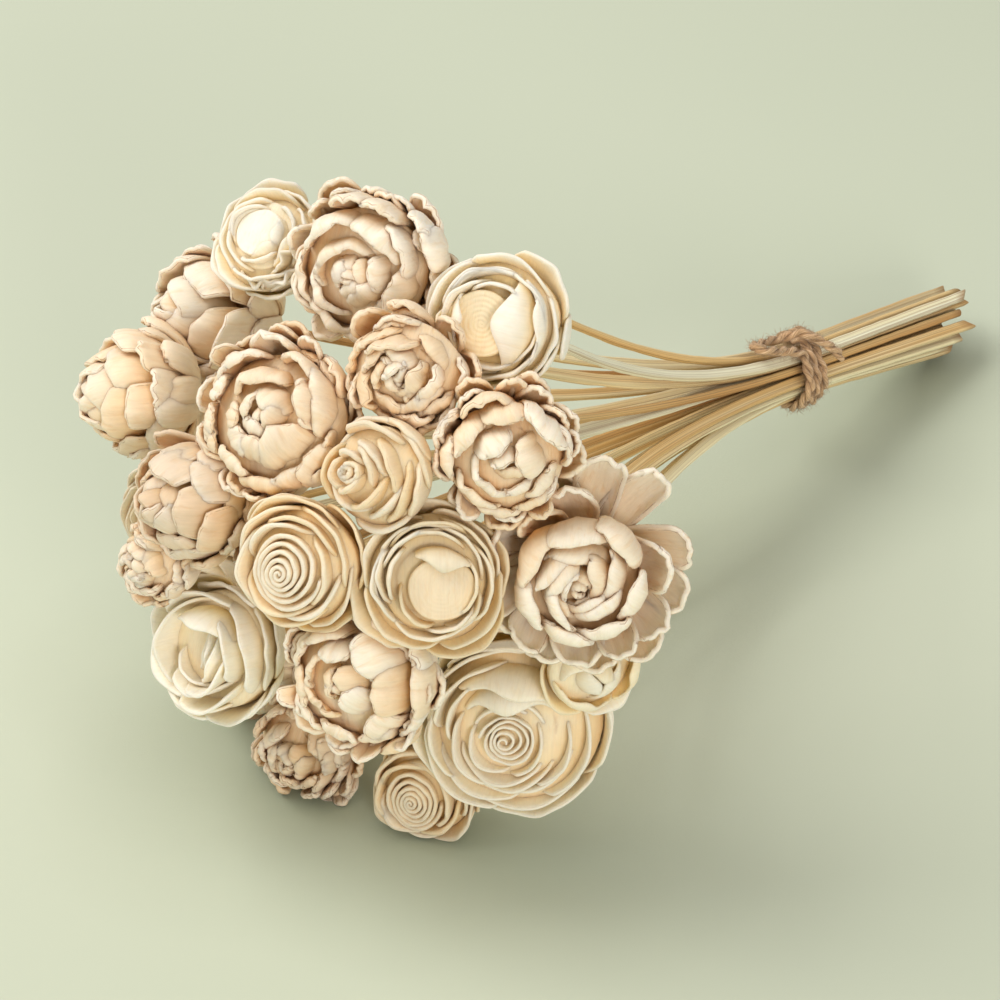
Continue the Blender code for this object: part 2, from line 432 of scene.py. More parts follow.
def relief(tree, height, strength, distance):
    inputs = {"Height": height, "Strength": strength, "Distance": distance}
    return output_of(tree, "ShaderNodeBump", inputs)


def give_finish(tree, shader, finish):
    """Feeds the shader's inputs, named as it names them."""
    for key, value in finish.items():
        feed(tree, shader.inputs[key], value)


# ---------------------------------------------------------------------------- materials


# How near another surface has to be for painted shade on one
PITH_HOLLOW_REACH = 7 * MM
PITH_CONTACT_SHADE_REACH = 1.8 * MM
REED_CONTACT_SHADE_REACH = 5 * MM
JUTE_CONTACT_SHADE_REACH = 3 * MM
FLOOR_SHADE_REACH = 65 * MM
# The mark of a sheet's rim: how far from the edge it fades away, and how strong it is at the edge
RIM_DEPTH = 1.1 * MM
RIM_MARK = 0.74

# Shaved pith: its colour on the rims, on the faces and in the hollows, where painted shade takes it,
# then how much brown skin shows, how much paler the rims are, how much light passes, how creased it
# is, and how dark the painted shade is where its surfaces nearly touch
Pith = namedtuple("Pith", "pale warm deep skin_share rim_paleness translucency creasing seams")
PITHS = {
    "pith_beige": Pith((255, 243, 224), (250, 223, 187), (242, 197, 130), 0.7, 0.13, 0.35, 1.1, 0.75),
    "pith_cream": Pith((255, 245, 225), (252, 229, 190), (247, 209, 138), 0.25, 0.05, 0.4, 0.6, 0.25),
    "pith_ivory": Pith((255, 248, 231), (254, 235, 199), (249, 216, 150), 0.12, 0.03, 0.4, 0.6, 0.1),
}
SKIN = (158, 112, 64)
# Dry reed: its colours from the palest stem to the darkest, that of its streaks, and its roughness
Reed = namedtuple("Reed", "pale light dark streak roughness")
REEDS = {
    "round_reed": Reed((255, 238, 188), (250, 216, 150), (208, 160, 98), (128, 86, 46), 0.55),
    "split_reed": Reed((254, 252, 222), (255, 242, 196), (238, 198, 130), (156, 110, 60), 0.5),
}


def pith_colour(tree, pith, rim, broad):
    """Pale rims, and painted warm shade in the hollows and where petals shut each other in; warmer on aged
    and shaded heads.
    """
    hollow = attribute(tree, "hollow")
    tone = attribute(tree, "tone")
    age = attribute(tree, "age")
    youth = math_node(tree, "MINIMUM", age, 0.0)
    # Painted shade and warm bounce light: golden, darker colour where other surfaces close in
    shut_in = ramp_node(tree, openness(tree, PITH_HOLLOW_REACH), (0.12, 1.0), (0.72, 0.0))
    hollow_shade_weight = math_node(tree, "MULTIPLY_ADD", youth, -1.3, 0.34)
    warmth_and_shade = math_node(tree, "MULTIPLY_ADD", broad, 0.5, math_node(tree, "MULTIPLY", tone, 0.45))
    warmth_and_shade = math_node(tree, "SUBTRACT", warmth_and_shade, 0.25)
    # Painted shade: the hollow mark pushes the colour towards the deep colour
    warmth_and_shade = math_node(tree, "MULTIPLY_ADD", hollow, hollow_shade_weight, warmth_and_shade)
    warmth_and_shade = math_node(tree, "MULTIPLY_ADD", rim, -pith.rim_paleness, warmth_and_shade)
    warmth_and_shade = math_node(tree, "MULTIPLY_ADD", youth, 0.9, warmth_and_shade)
    warmth_and_shade = math_node(tree, "MULTIPLY_ADD", age, 0.3, warmth_and_shade)
    warmth_and_shade = math_node(tree, "MULTIPLY_ADD", shut_in, 0.42, warmth_and_shade, clamp=True)
    pale, warm, deep = (linear(*shade) for shade in (pith.pale, pith.warm, pith.deep))
    return ramp_node(tree, warmth_and_shade, (0.0, pale), (0.5, warm), (1.0, deep)), age


def skin_line(tree, here, rim):
    """Where a thin broken line of skin runs, just inside a petal's rim."""
    fine = noise_node(tree, here, 420, 3, 0.7)
    broad = noise_node(tree, here, 90, 2, 0.5)
    away = math_node(tree, "ABSOLUTE", math_node(tree, "SUBTRACT", rim, RIM_MARK))
    line = ramp_node(tree, math_node(tree, "SUBTRACT", 1.0, away), (0.93, 0.0), (0.99, 1.0))
    patch = ramp_node(tree, math_node(tree, "MULTIPLY", fine, broad), (0.21, 0.0), (0.30, 1.0))
    return math_node(tree, "MULTIPLY", line, patch)


def pith_material(name):
    """Shaved pith: fine grain along a petal, creases, mottling, skin lines, and painted shade where surfaces
    nearly touch.
    """
    pith = PITHS[name]
    made, tree, shader = new_material(name)
    grain_place = attribute(tree, "grain_place", "Vector")
    rim = attribute(tree, "rim")
    here = object_place(tree)
    fibre = drawn_out_noise(tree, grain_place, (9.0, 0.55, 1.0), 1.6, 5, 0.62, 0.25)
    crease = drawn_out_noise(tree, grain_place, (4.5, 1.0, 1.0), 1.2, 2, 0.5, 0.6)
    crease = ramp_node(tree, crease, (0.3, 0.0), (0.5, 0.7), (0.7, 1.0))
    mottle = noise_node(tree, here, 160, 4, 0.6)
    broad = noise_node(tree, here, 38, 2, 0.5)

    colour, age = pith_colour(tree, pith, rim, broad)
    streaks = ramp_node(tree, fibre, (0.30, 0.88), (0.55, 1.0), (0.8, 1.04))
    colour = multiplied(tree, 0.5, colour, streaks)
    spots = ramp_node(tree, mottle, (0.35, 0.9), (0.6, 1.0))
    colour = multiplied(tree, 0.5, colour, spots)
    lines = ramp_node(tree, crease, (0.0, (0.94, 0.84, 0.7)), (0.6, WHITE))
    colour = multiplied(tree, 0.5 * pith.creasing, colour, lines)
    skin_share = math_node(tree, "MULTIPLY", skin_line(tree, here, rim), pith.skin_share)
    colour = mix_colour(tree, skin_share, colour, linear(*SKIN))
    # Duller where heads have aged, partly as painted shade on heads that lie in shade
    dulling_and_shade = ramp_node(tree, age, (0.0, WHITE), (0.3, (0.75, 0.71, 0.67)))
    colour = multiplied(tree, 1.0, colour, dulling_and_shade)
    # Painted shade: dark brown where another surface comes within a couple of millimetres
    contact_shade_colour = (0.42, 0.28, 0.18)
    colour = shaded_where_shut_in(tree, pith.seams, colour, PITH_CONTACT_SHADE_REACH, 0.25, contact_shade_colour, 0.6)

    height = math_node(tree, "MULTIPLY_ADD", fibre, 0.7, math_node(tree, "MULTIPLY", mottle, 0.5))
    height = math_node(tree, "MULTIPLY_ADD", crease, pith.creasing, height)
    finish = {
        "Base Color": colour,
        "Roughness": ramp_node(tree, mottle, (0.3, 0.62), (0.7, 0.82)),
        "Subsurface Weight": pith.translucency,
        "Subsurface Radius": (1.0, 0.82, 0.64),
        "Subsurface Scale": 2.4 * MM,
        "Specular IOR Level": 0.28,
        "Sheen Weight": 0.12,
        "Sheen Roughness": 0.5,
        "Normal": relief(tree, height, 0.35, 0.35 * MM),
    }
    give_finish(tree, shader, finish)
    return made


def reed_material(name):
    """Dry reed: straight grain along the stem, darker streaks, browner cut ends, and painted shade between
    stems.
    """
    reed = REEDS[name]
    made, tree, shader = new_material(name)
    along = attribute(tree, "along")
    tone = attribute(tree, "tone")
    place = combined(tree, attribute(tree, "around"), along, tone)
    grain = drawn_out_noise(tree, place, (30.0, 5.0, 9.0), 1.0, 3, 0.6)
    fine = drawn_out_noise(tree, place, (80.0, 12.0, 9.0), 1.0, 3, 0.6)
    broad = drawn_out_noise(tree, place, (5.0, 9.0, 17.0), 1.0, 2)
    pale, light, dark, streak = (linear(*shade) for shade in reed[:4])

    shade = math_node(tree, "MULTIPLY_ADD", math_node(tree, "SUBTRACT", broad, 0.5), 1.3, tone)
    colour = ramp_node(tree, shade, (0.0, pale), (0.45, light), (1.0, dark))
    streaks = ramp_node(tree, grain, (0.34, 1.0), (0.46, 0.4), (0.58, 0.0))
    colour = mix_colour(tree, math_node(tree, "MULTIPLY", streaks, 0.6), colour, streak)
    colour = multiplied(tree, 0.8, colour, ramp_node(tree, fine, (0.3, 0.82), (0.65, 1.12)))
    cut = ramp_node(tree, math_node(tree, "MULTIPLY", along, 1 / BROWN_END), (0.0, 0.7), (1.0, 0.0))
    colour = mix_colour(tree, cut, colour, streak)
    # Painted shade: darker where stems lie close together
    contact_shade_colour = (0.42, 0.30, 0.20)
    colour = shaded_where_shut_in(tree, 0.85, colour, REED_CONTACT_SHADE_REACH, 0.15, contact_shade_colour, 0.65)

    speck = noise_node(tree, object_place(tree), 900, 2)
    height = math_node(tree, "MULTIPLY_ADD", fine, 0.6, math_node(tree, "MULTIPLY", grain, 0.8))
    height = math_node(tree, "MULTIPLY_ADD", speck, 0.15, height)
    finish = {
        "Base Color": colour,
        "Roughness": ramp_node(tree, grain, (0.3, reed.roughness - 0.08), (0.7, reed.roughness + 0.1)),
        "Specular IOR Level": 0.4,
        "Normal": relief(tree, height, 0.6, 0.3 * MM),
    }
    give_finish(tree, shader, finish)
    return made


def jute_material():
    """Jute: dull golden-brown fibres laid at a slant, darker between them, with painted shade where the
    strand presses close.
    """
    made, tree, shader = new_material("jute_fibre")
    along = attribute(tree, "along")
    slant = math_node(tree, "MULTIPLY_ADD", along, 90.0, attribute(tree, "around"))
    place = combined(tree, slant, along, 0.0)
    fibre = drawn_out_noise(tree, place, (22.0, 160.0, 1.0), 1.0, 3, 0.6)
    dark, golden, pale = linear(126, 90, 56), linear(220, 180, 136), linear(250, 226, 190)
    colour = ramp_node(tree, fibre, (0.28, dark), (0.5, golden), (0.72, pale))
    shade = ramp_node(tree, noise_node(tree, object_place(tree), 130, 3), (0.35, 0.78), (0.65, 1.08))
    colour = multiplied(tree, 0.8, colour, shade)
    # Painted shade: darker where the strand lies close to the stems and to itself
    contact_shade_colour = (0.30, 0.20, 0.12)
    colour = shaded_where_shut_in(tree, 0.9, colour, JUTE_CONTACT_SHADE_REACH, 0.2, contact_shade_colour, 0.7)
    finish = {
        "Base Color": colour,
        "Roughness": 0.85,
        "Specular IOR Level": 0.2,
        "Sheen Weight": 0.25,
        "Normal": relief(tree, fibre, 0.8, 0.3 * MM),
    }
    give_finish(tree, shader, finish)
    return made


def floor_material():
    """A pale sage floor, with a painted shadow under the bunch."""
    made, tree, shader = new_material("sage_floor")
    soft = noise_node(tree, object_place(tree), 2.5, 2)
    colour = ramp_node(tree, soft, (0.3, linear(202, 211, 190)), (0.7, linear(206, 214, 194)))
    # Painted shadow: darker where the bunch comes within 65 mm
    shadow = (0.52, 0.54, 0.50)
    colour = shaded_where_shut_in(tree, 1.0, colour, FLOOR_SHADE_REACH, 0.3, shadow, 0.9)
    give_finish(tree, shader, {"Base Color": colour, "Roughness": 0.8, "Specular IOR Level": 0.15})
    return made


def make_materials():
    """Every finish by the name of its slot."""
    materials = {name: pith_material(name) for name in PITHS}
    materials.update({name: reed_material(name) for name in REEDS})
    materials["jute_twine"] = jute_material()
    return materials


# ---------------------------------------------------------------------------- pith shaving


# A full turn in radians, near enough for where a ripple starts
FULL_TURN = 6.28
# How far a sheet's rim swells past its edge, as a share of its thickness
RIM_SWELL = 0.42
# How the rim's mark fades away from the edge, as a power, and the strength from which the
# middle of the rim takes all of it
RIM_FADE = 1.3
RIM_FULL = 0.7
# How much of the painted hollow shade a sheet's inner side takes, as a share of its outer side's
INNER_HOLLOW_SHADE_SHARE = 0.8
# The unit of the places that the grain is drawn on, how far a sheet's grain is shifted at most
# to be its own, and how far its inner side's is shifted from its outer side's
GRAIN_UNIT = 10 * MM
GRAIN_SHIFT = 40
INNER_GRAIN_SHIFT = 5
# How a petal's points crowd together: its rows towards the tip, as a power, and its columns
# towards the sides, as a share of a quarter wave, less where they are many
TIP_CROWDING = 1.35
SIDE_CROWDING = 0.86
SIDE_CROWDING_OF_MANY = 0.5
MANY_COLUMNS = 20
# A rolled ribbon: its innermost reach, how it leans in below, how far it strays from a circle, how
# its rim waves, and its rows and steps
COIL_START = 0.03
COIL_LEAN = 0.25
COIL_SQUARENESS = 0.012
COIL_WAVE = 0.02
COIL_ROWS = 5
COIL_STEPS_A_TURN = 34
# A disc of rolled pith: the power by which its line winds, the line's width as a share of the gap
# between its turns, where its edge starts to drop and how far, and its tone
DISC_WINDING = 0.9
DISC_LINE_WIDTH = 0.16
DISC_EDGE = 0.97
DISC_EDGE_DROP = 0.02
DISC_TONE = 0.45


def bezier(controls, t):
    """Points of a cubic curve, and its slope there, for an array of t."""
    a, b, c, d = (np.array(control, float) for control in controls)
    t = t[..., None]
    s = 1 - t
    points = s**3 * a + 3 * s * s * t * b + 3 * s * t * t * c + t**3 * d
    slope = 3 * s * s * (b - a) + 6 * s * t * (c - b) + 3 * t * t * (d - c)
    return points, slope


def unit(vectors):
    return vectors / np.maximum(np.linalg.norm(vectors, axis=-1, keepdims=True), 1e-12)


def sheet_faces(spot, edge):
    """The faces of a closed sheet, from the places of its points and of those along its edge.

    The outer side's points come first, then the inner side's, then those in the rim's middle.
    """
    total = spot.size
    a, b = spot[:-1, :-1].ravel(), spot[:-1, 1:].ravel()
    c, d = spot[1:, 1:].ravel(), spot[1:, :-1].ravel()
    faces = np.stack([a, b, c, d], 1).tolist()
    faces += (np.stack([d, c, b, a], 1) + total).tolist()
    mid = 2 * total + np.arange(len(edge))
    mid_next, edge_next = np.roll(mid, -1), np.roll(edge, -1)
    faces += np.stack([mid, mid_next, edge_next, edge], 1).tolist()
    faces += np.stack([edge + total, edge_next + total, mid_next, mid], 1).tolist()
    return faces


def petal_grid(size):
    """How far a petal's points are from base to tip, and from one side (-1) to the other (1).

    Rows are closer towards the tip, and columns towards the sides.
    """
    rows, columns = size
    t = (1 - (1 - np.linspace(0, 1, rows)) ** TIP_CROWDING)[:, None] * np.ones((1, columns))
    crowding = SIDE_CROWDING if columns < MANY_COLUMNS else SIDE_CROWDING_OF_MANY
    s = np.sin(np.linspace(-1, 1, columns) * math.pi / 2 * crowding)
    s = (s / math.sin(math.pi / 2 * crowding))[None, :] * np.ones((rows, 1))
    return t, s


def rounded_tip(t, s, cap, blunt):
    """Rounds a petal's tip over this last share of its length, by drawing its corners in.

    Gives how far into the tip each point is, then its new place across and along the petal.
    """
    late = np.clip((t - (1 - cap)) / cap, 0, 1)
    late = late * (1 + 0.05 * np.sin(4.5 * s + 1.3 * late))
    x = s * np.sqrt(1 - blunt * late**2 / 2)
    v = np.where(late > 0, 1 - cap + cap * late * np.sqrt(1 - blunt * s**2 / 2), t)
    return late, x, v


class Flower:
    """Gathers closed sheets of pith into one mesh. Its lengths are shares of the head's radius."""

    def __init__(self, head):
        self.head = head
        self.radius = head.across * MM / 2
        self.random = np.random.default_rng(sum(head.name.encode()) * 7 + head.across)
        self.points = []
        self.faces = []
        self.marks = {"rim": [], "hollow": [], "tone": [], "grain_place": []}
        self.count = 0

    def add(self, points, faces, *marks):
        """One closed sheet, with what is marked on its points in the order of the marks' names."""
        self.points.append(points)
        self.faces += [[index + self.count for index in face] for face in faces]
        self.count += len(points)
        for key, values in zip(self.marks, marks):
            self.marks[key].append(values)

    def shell(self, grid, thickness, hollow, grain_place, tone):
        """A closed sheet about a grid of middle points: two sides, and a rounded rim between."""
        rows, columns = grid.shape[:2]
        along = np.gradient(grid, axis=0)
        across = np.gradient(grid, axis=1)
        normal = unit(np.cross(across, along))
        thickness = np.broadcast_to(thickness, (rows, columns))[..., None] * MM / self.radius
        outer = (grid + normal * thickness / 2).reshape(-1, 3)
        inner = (grid - normal * thickness / 2).reshape(-1, 3)
        spot = np.arange(rows * columns).reshape(rows, columns)
        edge = np.concatenate([spot[0, :-1], spot[:-1, -1], spot[-1, :0:-1], spot[:0:-1, 0]])
        outward = [-along[0, :-1], across[:-1, -1], along[-1, :0:-1], -across[:0:-1, 0]]
        swell = thickness.reshape(-1, 1)[edge] * RIM_SWELL
        flat = grid.reshape(-1, 3)
        middle = flat[edge] + unit(np.concatenate(outward)) * swell
        past_base = edge[columns - 1 :]
        gaps = np.linalg.norm(flat[:, None] - flat[None, past_base], axis=-1).min(1) * self.radius
        rim = RIM_MARK * np.exp(-((gaps / RIM_DEPTH) ** RIM_FADE))
        rim = np.concatenate([rim, rim, np.where(rim[edge] > RIM_FULL, 1.0, rim[edge])])
        hollow = np.broadcast_to(hollow, (rows, columns)).ravel()
        hollow = np.concatenate([hollow, hollow * INNER_HOLLOW_SHADE_SHARE, hollow[edge]])
        place = grain_place.reshape(-1, 2) + self.random.uniform(0, GRAIN_SHIFT, 2)
        place = np.concatenate([place, place + INNER_GRAIN_SHIFT, place[edge]])
        place = np.concatenate([place, np.zeros((len(place), 1))], 1)
        points = np.concatenate([outer, inner, middle])
        self.add(points, sheet_faces(spot, edge), rim, hollow, np.full(len(points), tone), place)

    def petal(
        self, path, half_width, turn, thickness=1.2, hug=1.0, base=0.4, blunt=0.85, point=0.0, roll=0.0,
        wave=0.0, lean=0.0, plump=0.35, size=(11, 11), middle=(0, 0), cup=0.0, crumple=0.03, hollow_shade_share=1.0,
    ):
        """One petal on a path of four (out, up) control points, at a turn in degrees."""
        random = self.random
        t, s = petal_grid(size)
        ends = bezier(path, np.linspace(0, 1, 24))[0]
        length = np.linalg.norm(np.diff(ends, axis=0), axis=1).sum()
        # t and v run from base to tip, s and x from side to side
        late, x, v = rounded_tip(t, s, min(0.62, 1.05 * half_width / length), blunt)
        centre, slope = bezier(path, v)
        slope = unit(slope)
        inward = np.stack([-slope[..., 1], slope[..., 0]], -1)
        width = base + (1 - base) * np.sin(np.minimum(v / 0.6, 1) * math.pi / 2)
        width = half_width * width * (1 - point * v**3)
        # Across, it bends round the flower's axis, and more where it is cupped
        curve = hug / np.maximum(centre[..., 0], 0.62 * half_width)
        curve = curve + cup * np.sin(np.minimum(v * 1.25, 1) * math.pi / 2) / half_width
        bend = curve * width * x
        ripple = random.uniform(0, FULL_TURN, 9)
        side = np.sin(bend) / curve + lean * length * v**2
        side = side + 0.05 * half_width * np.abs(s) * np.sin(5 * v + ripple[4] + np.sign(s))
        # It crumples in folds, ruffles at the rim and rolls over there
        rim = 1 - (1 - s**6) * (1 - late**4)
        folds = np.sin(4.2 * s + 2 * v + ripple[5]) * np.sin(4 * v + ripple[6])
        folds = folds + 0.6 * np.sin(8.5 * s + 3 * v + ripple[7]) * (0.4 + v)
        ruffle = np.sin(5.5 * s + 3 * t + ripple[2]) + 0.5 * np.sin(11 * s + ripple[3])
        lift = (1 - np.cos(bend)) / curve + roll * half_width * rim**1.5
        lift = lift + half_width * (wave * rim * ruffle + crumple * folds)
        out = centre[..., 0] + inward[..., 0] * lift
        up = centre[..., 1] + inward[..., 1] * lift
        turn = math.radians(turn)
        cos, sin = math.cos(turn), math.sin(turn)
        grid = np.stack([out * cos - side * sin, out * sin + side * cos, up], -1)
        grid[..., 0] += middle[0] * v
        grid[..., 1] += middle[1] * v
        thick = thickness * (1 - plump * rim)
        # Painted shade: warmer, darker colour towards the petal's base
        hollow = hollow_shade_share * np.clip((0.95 - v) / 0.6, 0, 1)
        scale = self.radius / GRAIN_UNIT
        place = np.stack([x * width * scale, v * length * scale], -1)
        self.shell(grid, thick, hollow, place, random.uniform(0, 1))

    def ring(self, petals, turn, path, half_width, jitter=1.0, **shape):
        """Petals spread evenly round the head, each a little off the rule."""
        random = self.random
        for index in range(petals):
            off = random.uniform(-1, 1, 12) * jitter
            own = dict(shape)
            own_path = [list(control) for control in path]
            own_path[1][0] *= 1 + 0.05 * off[0]
            own_path[2][0] *= 1 + 0.06 * off[1]
            own_path[2][1] += 0.05 * off[2]
            own_path[3][0] *= 1 + 0.09 * off[3]
            own_path[3][1] += 0.06 * off[4]
            own["lean"] = shape.get("lean", 0) + 0.07 * off[5]
            own["roll"] = shape.get("roll", 0) + 0.05 * off[6]
            own["point"] = max(0, shape.get("point", 0) + 0.06 * off[7])
            at = turn + 360 / petals * (index + 0.16 * off[8])
            self.petal(own_path, half_width * (1 + 0.12 * off[9]), at, **own)

    def coil(self, radius, turns, top, fall, depth, thickness, middle, growth=1.25, stretch=(1, 1)):
        """A rolled ribbon of pith, seen from its rim: a spiral with its middle at the top."""
        random = self.random
        share = np.linspace(0, 1, int(COIL_STEPS_A_TURN * turns))[None, :]
        angle = share * turns * 2 * math.pi
        ripple = random.uniform(0, FULL_TURN, 5)
        square = COIL_SQUARENESS * np.cos(4 * angle + ripple[0])
        stray = 0.006 * np.sin(3.3 * angle + ripple[2]) + 0.035 * np.sin(1.13 * angle + ripple[4])
        reach = COIL_START + (radius - COIL_START) * share**growth
        reach = reach * (1 + square + 0.025 * np.sin(2 * angle + ripple[1])) + stray * share
        t = np.linspace(0, 1, COIL_ROWS)[:, None]
        wave = np.sin(3.7 * angle + ripple[3]) + 0.7 * np.sin(8.3 * angle + ripple[4])
        rim = top - fall * share**2 + COIL_WAVE * share * wave
        out = reach * (1 - COIL_LEAN * (1 - t) * (0.3 + share))
        out = np.maximum(out, COIL_START * 0.8)
        x = out * np.cos(angle) * stretch[0] + middle[0] * (1 - share * 0.6)
        y = out * np.sin(angle) * stretch[1] + middle[1] * (1 - share * 0.6)
        grid = np.stack([x, y, rim - depth * (1 - t)], -1)
        # Painted shade, deeper down the coil
        hollow = (1 - t) * 0.9
        scale = self.radius / GRAIN_UNIT
        round_it, down_it = angle * reach * scale * 0.5, t * depth * scale
        place = np.stack([round_it + t * 0, down_it + share * 0], -1)
        thick = thickness * np.clip(0.6 + share * 2, 0.6, 1)
        self.shell(grid, thick, hollow, place, random.uniform(0.2, 0.7))

    def disc(self, radius, top, dome, depth, turns, groove=0.12, middle=(0, 0), hollow=0.4, size=(72, 30)):
        """The flat cut end of a rolled pith rod: a closed disc with a fine spiral line."""
        around, rings = size
        angle = np.linspace(0, 2 * math.pi, around, endpoint=False)[None, :]
        share = np.linspace(1 / rings, 1, rings)[:, None]
        uneven = 1 + 0.03 * np.sin(2 * angle + 1) + 0.015 * np.sin(5 * angle)
        phase = (share**DISC_WINDING * turns - angle / (2 * math.pi)) % 1
        line = np.exp(-(((phase - 0.5) / DISC_LINE_WIDTH) ** 2))
        height = top - dome * share**2 - groove * MM / self.radius * line
        drop = np.where(share > DISC_EDGE, DISC_EDGE_DROP, 0)
        out = radius * share * uneven
        surface = np.stack([out * np.cos(angle), out * np.sin(angle), height - drop], -1)
        side = surface[-1] * (1.0, 1.0, 0) + (0, 0, top - depth)
        points = np.concatenate([surface.reshape(-1, 3), side, [[0, 0, top], [0, 0, top - depth]]])
        points[:, 0] += middle[0]
        points[:, 1] += middle[1]
        spot = np.arange(rings * around).reshape(rings, around)
        wall = rings * around + np.arange(around)
        crown, foot = rings * around + around, rings * around + around + 1
        faces = []
        for low, high in [*zip(spot[:-1], spot[1:]), (spot[-1], wall)]:
            faces += np.stack([low, high, np.roll(high, -1), np.roll(low, -1)], 1).tolist()
        for here, after in zip(spot[0], np.roll(spot[0], -1)):
            faces.append([crown, here, after])
        for here, after in zip(wall, np.roll(wall, -1)):
            faces.append([foot, after, here])
        rim = np.concatenate([(line * RIM_MARK).ravel(), np.zeros(around + 2)])
        places = points * (3, 3, 1)
        hollow, tone = (np.full(len(points), mark) for mark in (hollow, DISC_TONE))
        self.add(points, faces, rim, hollow, tone, places)

    def finish(self, material):
        """The head's one mesh, in place in the bunch, none of it below the surface it lies on."""
        points = np.concatenate(self.points) * self.radius
        turn = np.array(facing_matrix(self.head))
        points = points @ turn[:3, :3].T + turn[:3, 3]
        points[:, 2] = np.where(points[:, 2] < MM, MM * np.exp(points[:, 2] / MM - 1), points[:, 2])
        name = self.head.name + "_petals"
        mesh = bpy.data.meshes.new(name)
        mesh.from_pydata(points.tolist(), [], self.faces)
        mesh.shade_smooth()
        marks = {key: np.concatenate(values) for key, values in self.marks.items()}
        marks["age"] = np.full(len(points), AGE_AND_SHADE.get(self.head.name, 0))
        for key, values in marks.items():
            kind, field = ("FLOAT", "value") if values.ndim == 1 else ("FLOAT_VECTOR", "vector")
            layer = mesh.attributes.new(key, kind, "POINT")
            layer.data.foreach_set(field, values.astype(np.float32).ravel())
        mesh.materials.append(material)
        piece = bpy.data.objects.new(name, mesh)
        bpy.context.scene.collection.objects.link(piece)
        return piece


# ---------------------------------------------------------------------------- the flowers


# How the shavings of each kind are bent: thick solid ones, rolled bands, open shells with thick
# rims, narrow folded leaves, and the broad thin sheets that roses are wrapped in
PILLOW = dict(thickness=2.1, plump=0.35, hug=0.85, wave=0.03, crumple=0.075, size=(12, 13))
BAND = dict(
    thickness=1.6, plump=0.15, hug=1.0, cup=0.2, roll=0.08, wave=0.045, crumple=0.06, size=(12, 15)
)
SHELL = dict(thickness=1.1, plump=-0.5, hug=0.6, cup=0.6, roll=0.12, wave=0.06, size=(12, 15))
LEAF = dict(
    thickness=1.3, plump=0.1, hug=0.4, cup=0.75, roll=0.05, wave=0.02, crumple=0.04, point=0.2, size=(10, 11)
)
SHEET = dict(thickness=0.85, plump=-0.1, base=0.3, blunt=0.85, size=(9, 35), crumple=0.009)
FOLDED_OVER = {**SHEET, "hug": 0.8, "blunt": 1.0}
SPREAD_FLAT = {**SHEET, "hug": 0.7, "blunt": 1.0}
SPREAD_WIDE = {**SHEET, "hug": 0.75, "blunt": 0.7}
DRAWN_IN = {**SHEET, "hug": 0.6}


def filler(flower, radius, top, dome, middle=(0, 0)):
    """The crowded pith deep between the petals, which closes the gaps from below."""
    flower.disc(radius, top, dome, 0.5, 1, groove=0, middle=middle, hollow=0.6, size=(40, 8))


def open_peony(flower):
    """A wide double bloom: a tight ball, hoods arching over it, and open spoon petals."""
    filler(flower, 0.56, 0.38, 0.16, (-0.04, -0.05))
    ball = dict(thickness=1.7, plump=0.5, blunt=0.7, jitter=1.5)
    for petals, turn, path, wide, middle, lean in (
        (2, 75, ((0.0, -0.2), (0.10, 0.0), (0.12, 0.56), (0.02, 0.58)), 0.13, (-0.06, -0.10), 0),
        (3, 60, ((0.03, -0.1), (0.20, 0.0), (0.22, 0.66), (0.09, 0.58)), 0.20, (-0.10, -0.10), 0),
        (4, 20, ((0.08, -0.2), (0.38, -0.1), (0.34, 0.74), (0.13, 0.62)), 0.26, (-0.09, -0.08), 0.1),
        (5, 70, ((0.08, -0.3), (0.50, -0.2), (0.46, 0.70), (0.24, 0.64)), 0.29, (-0.04, -0.05), 0.1),
    ):
        flower.ring(petals, turn, path, wide, middle=middle, lean=lean, **ball)

    hood = dict(thickness=1.9, plump=0.2, hug=1.0, cup=0.2, roll=0.07, lean=0.08, crumple=0.05)
    for turn, reach, wide in (
        (95, 0.40, 0.34), (40, 0.46, 0.31), (150, 0.50, 0.33), (196, 0.53, 0.28),
        (245, 0.50, 0.27), (285, 0.46, 0.30), (335, 0.44, 0.27),
    ):
        path = ((0.08, -0.4), (reach + 0.26, -0.3), (reach + 0.24, 0.62), (reach, 0.62))
        flower.petal(path, wide, turn, **hood)
    for turn, reach, wide, height in (
        (3, 0.88, 0.30, 0.38), (101, 0.94, 0.30, 0.34), (128, 0.86, 0.20, 0.42), (150, 1.00, 0.22, 0.34),
        (168, 1.06, 0.20, 0.22), (190, 1.02, 0.26, 0.26), (226, 0.98, 0.24, 0.20), (262, 0.94, 0.28, 0.24),
        (294, 0.92, 0.22, 0.30), (322, 0.98, 0.26, 0.24),
    ):
        path = ((0.08, -0.5), (0.70 * reach, -0.5), (0.90 * reach, height - 0.36), (reach, height))
        flower.petal(path, wide, turn, lean=0.04, crumple=0.045, hollow_shade_share=0.4, **SHELL)
    for turn, reach, wide, height in (
        (80, 1.20, 0.27, 0.24), (53, 1.24, 0.22, 0.16), (14, 1.08, 0.24, 0.12), (346, 1.05, 0.24, 0.08),
        (308, 1.10, 0.26, 0.06), (277, 1.04, 0.28, 0.04), (243, 1.02, 0.26, 0.0), (208, 1.04, 0.26, 0.02),
        (176, 1.04, 0.22, 0.04), (142, 1.06, 0.26, 0.06), (112, 1.08, 0.26, 0.06),
    ):
        path = ((0.06, -0.62), (0.62 * reach, -0.66), (0.86 * reach, height - 0.32), (1.02 * reach, height))
        flower.petal(path, wide, turn, crumple=0.04, hollow_shade_share=0.2, **SHELL)


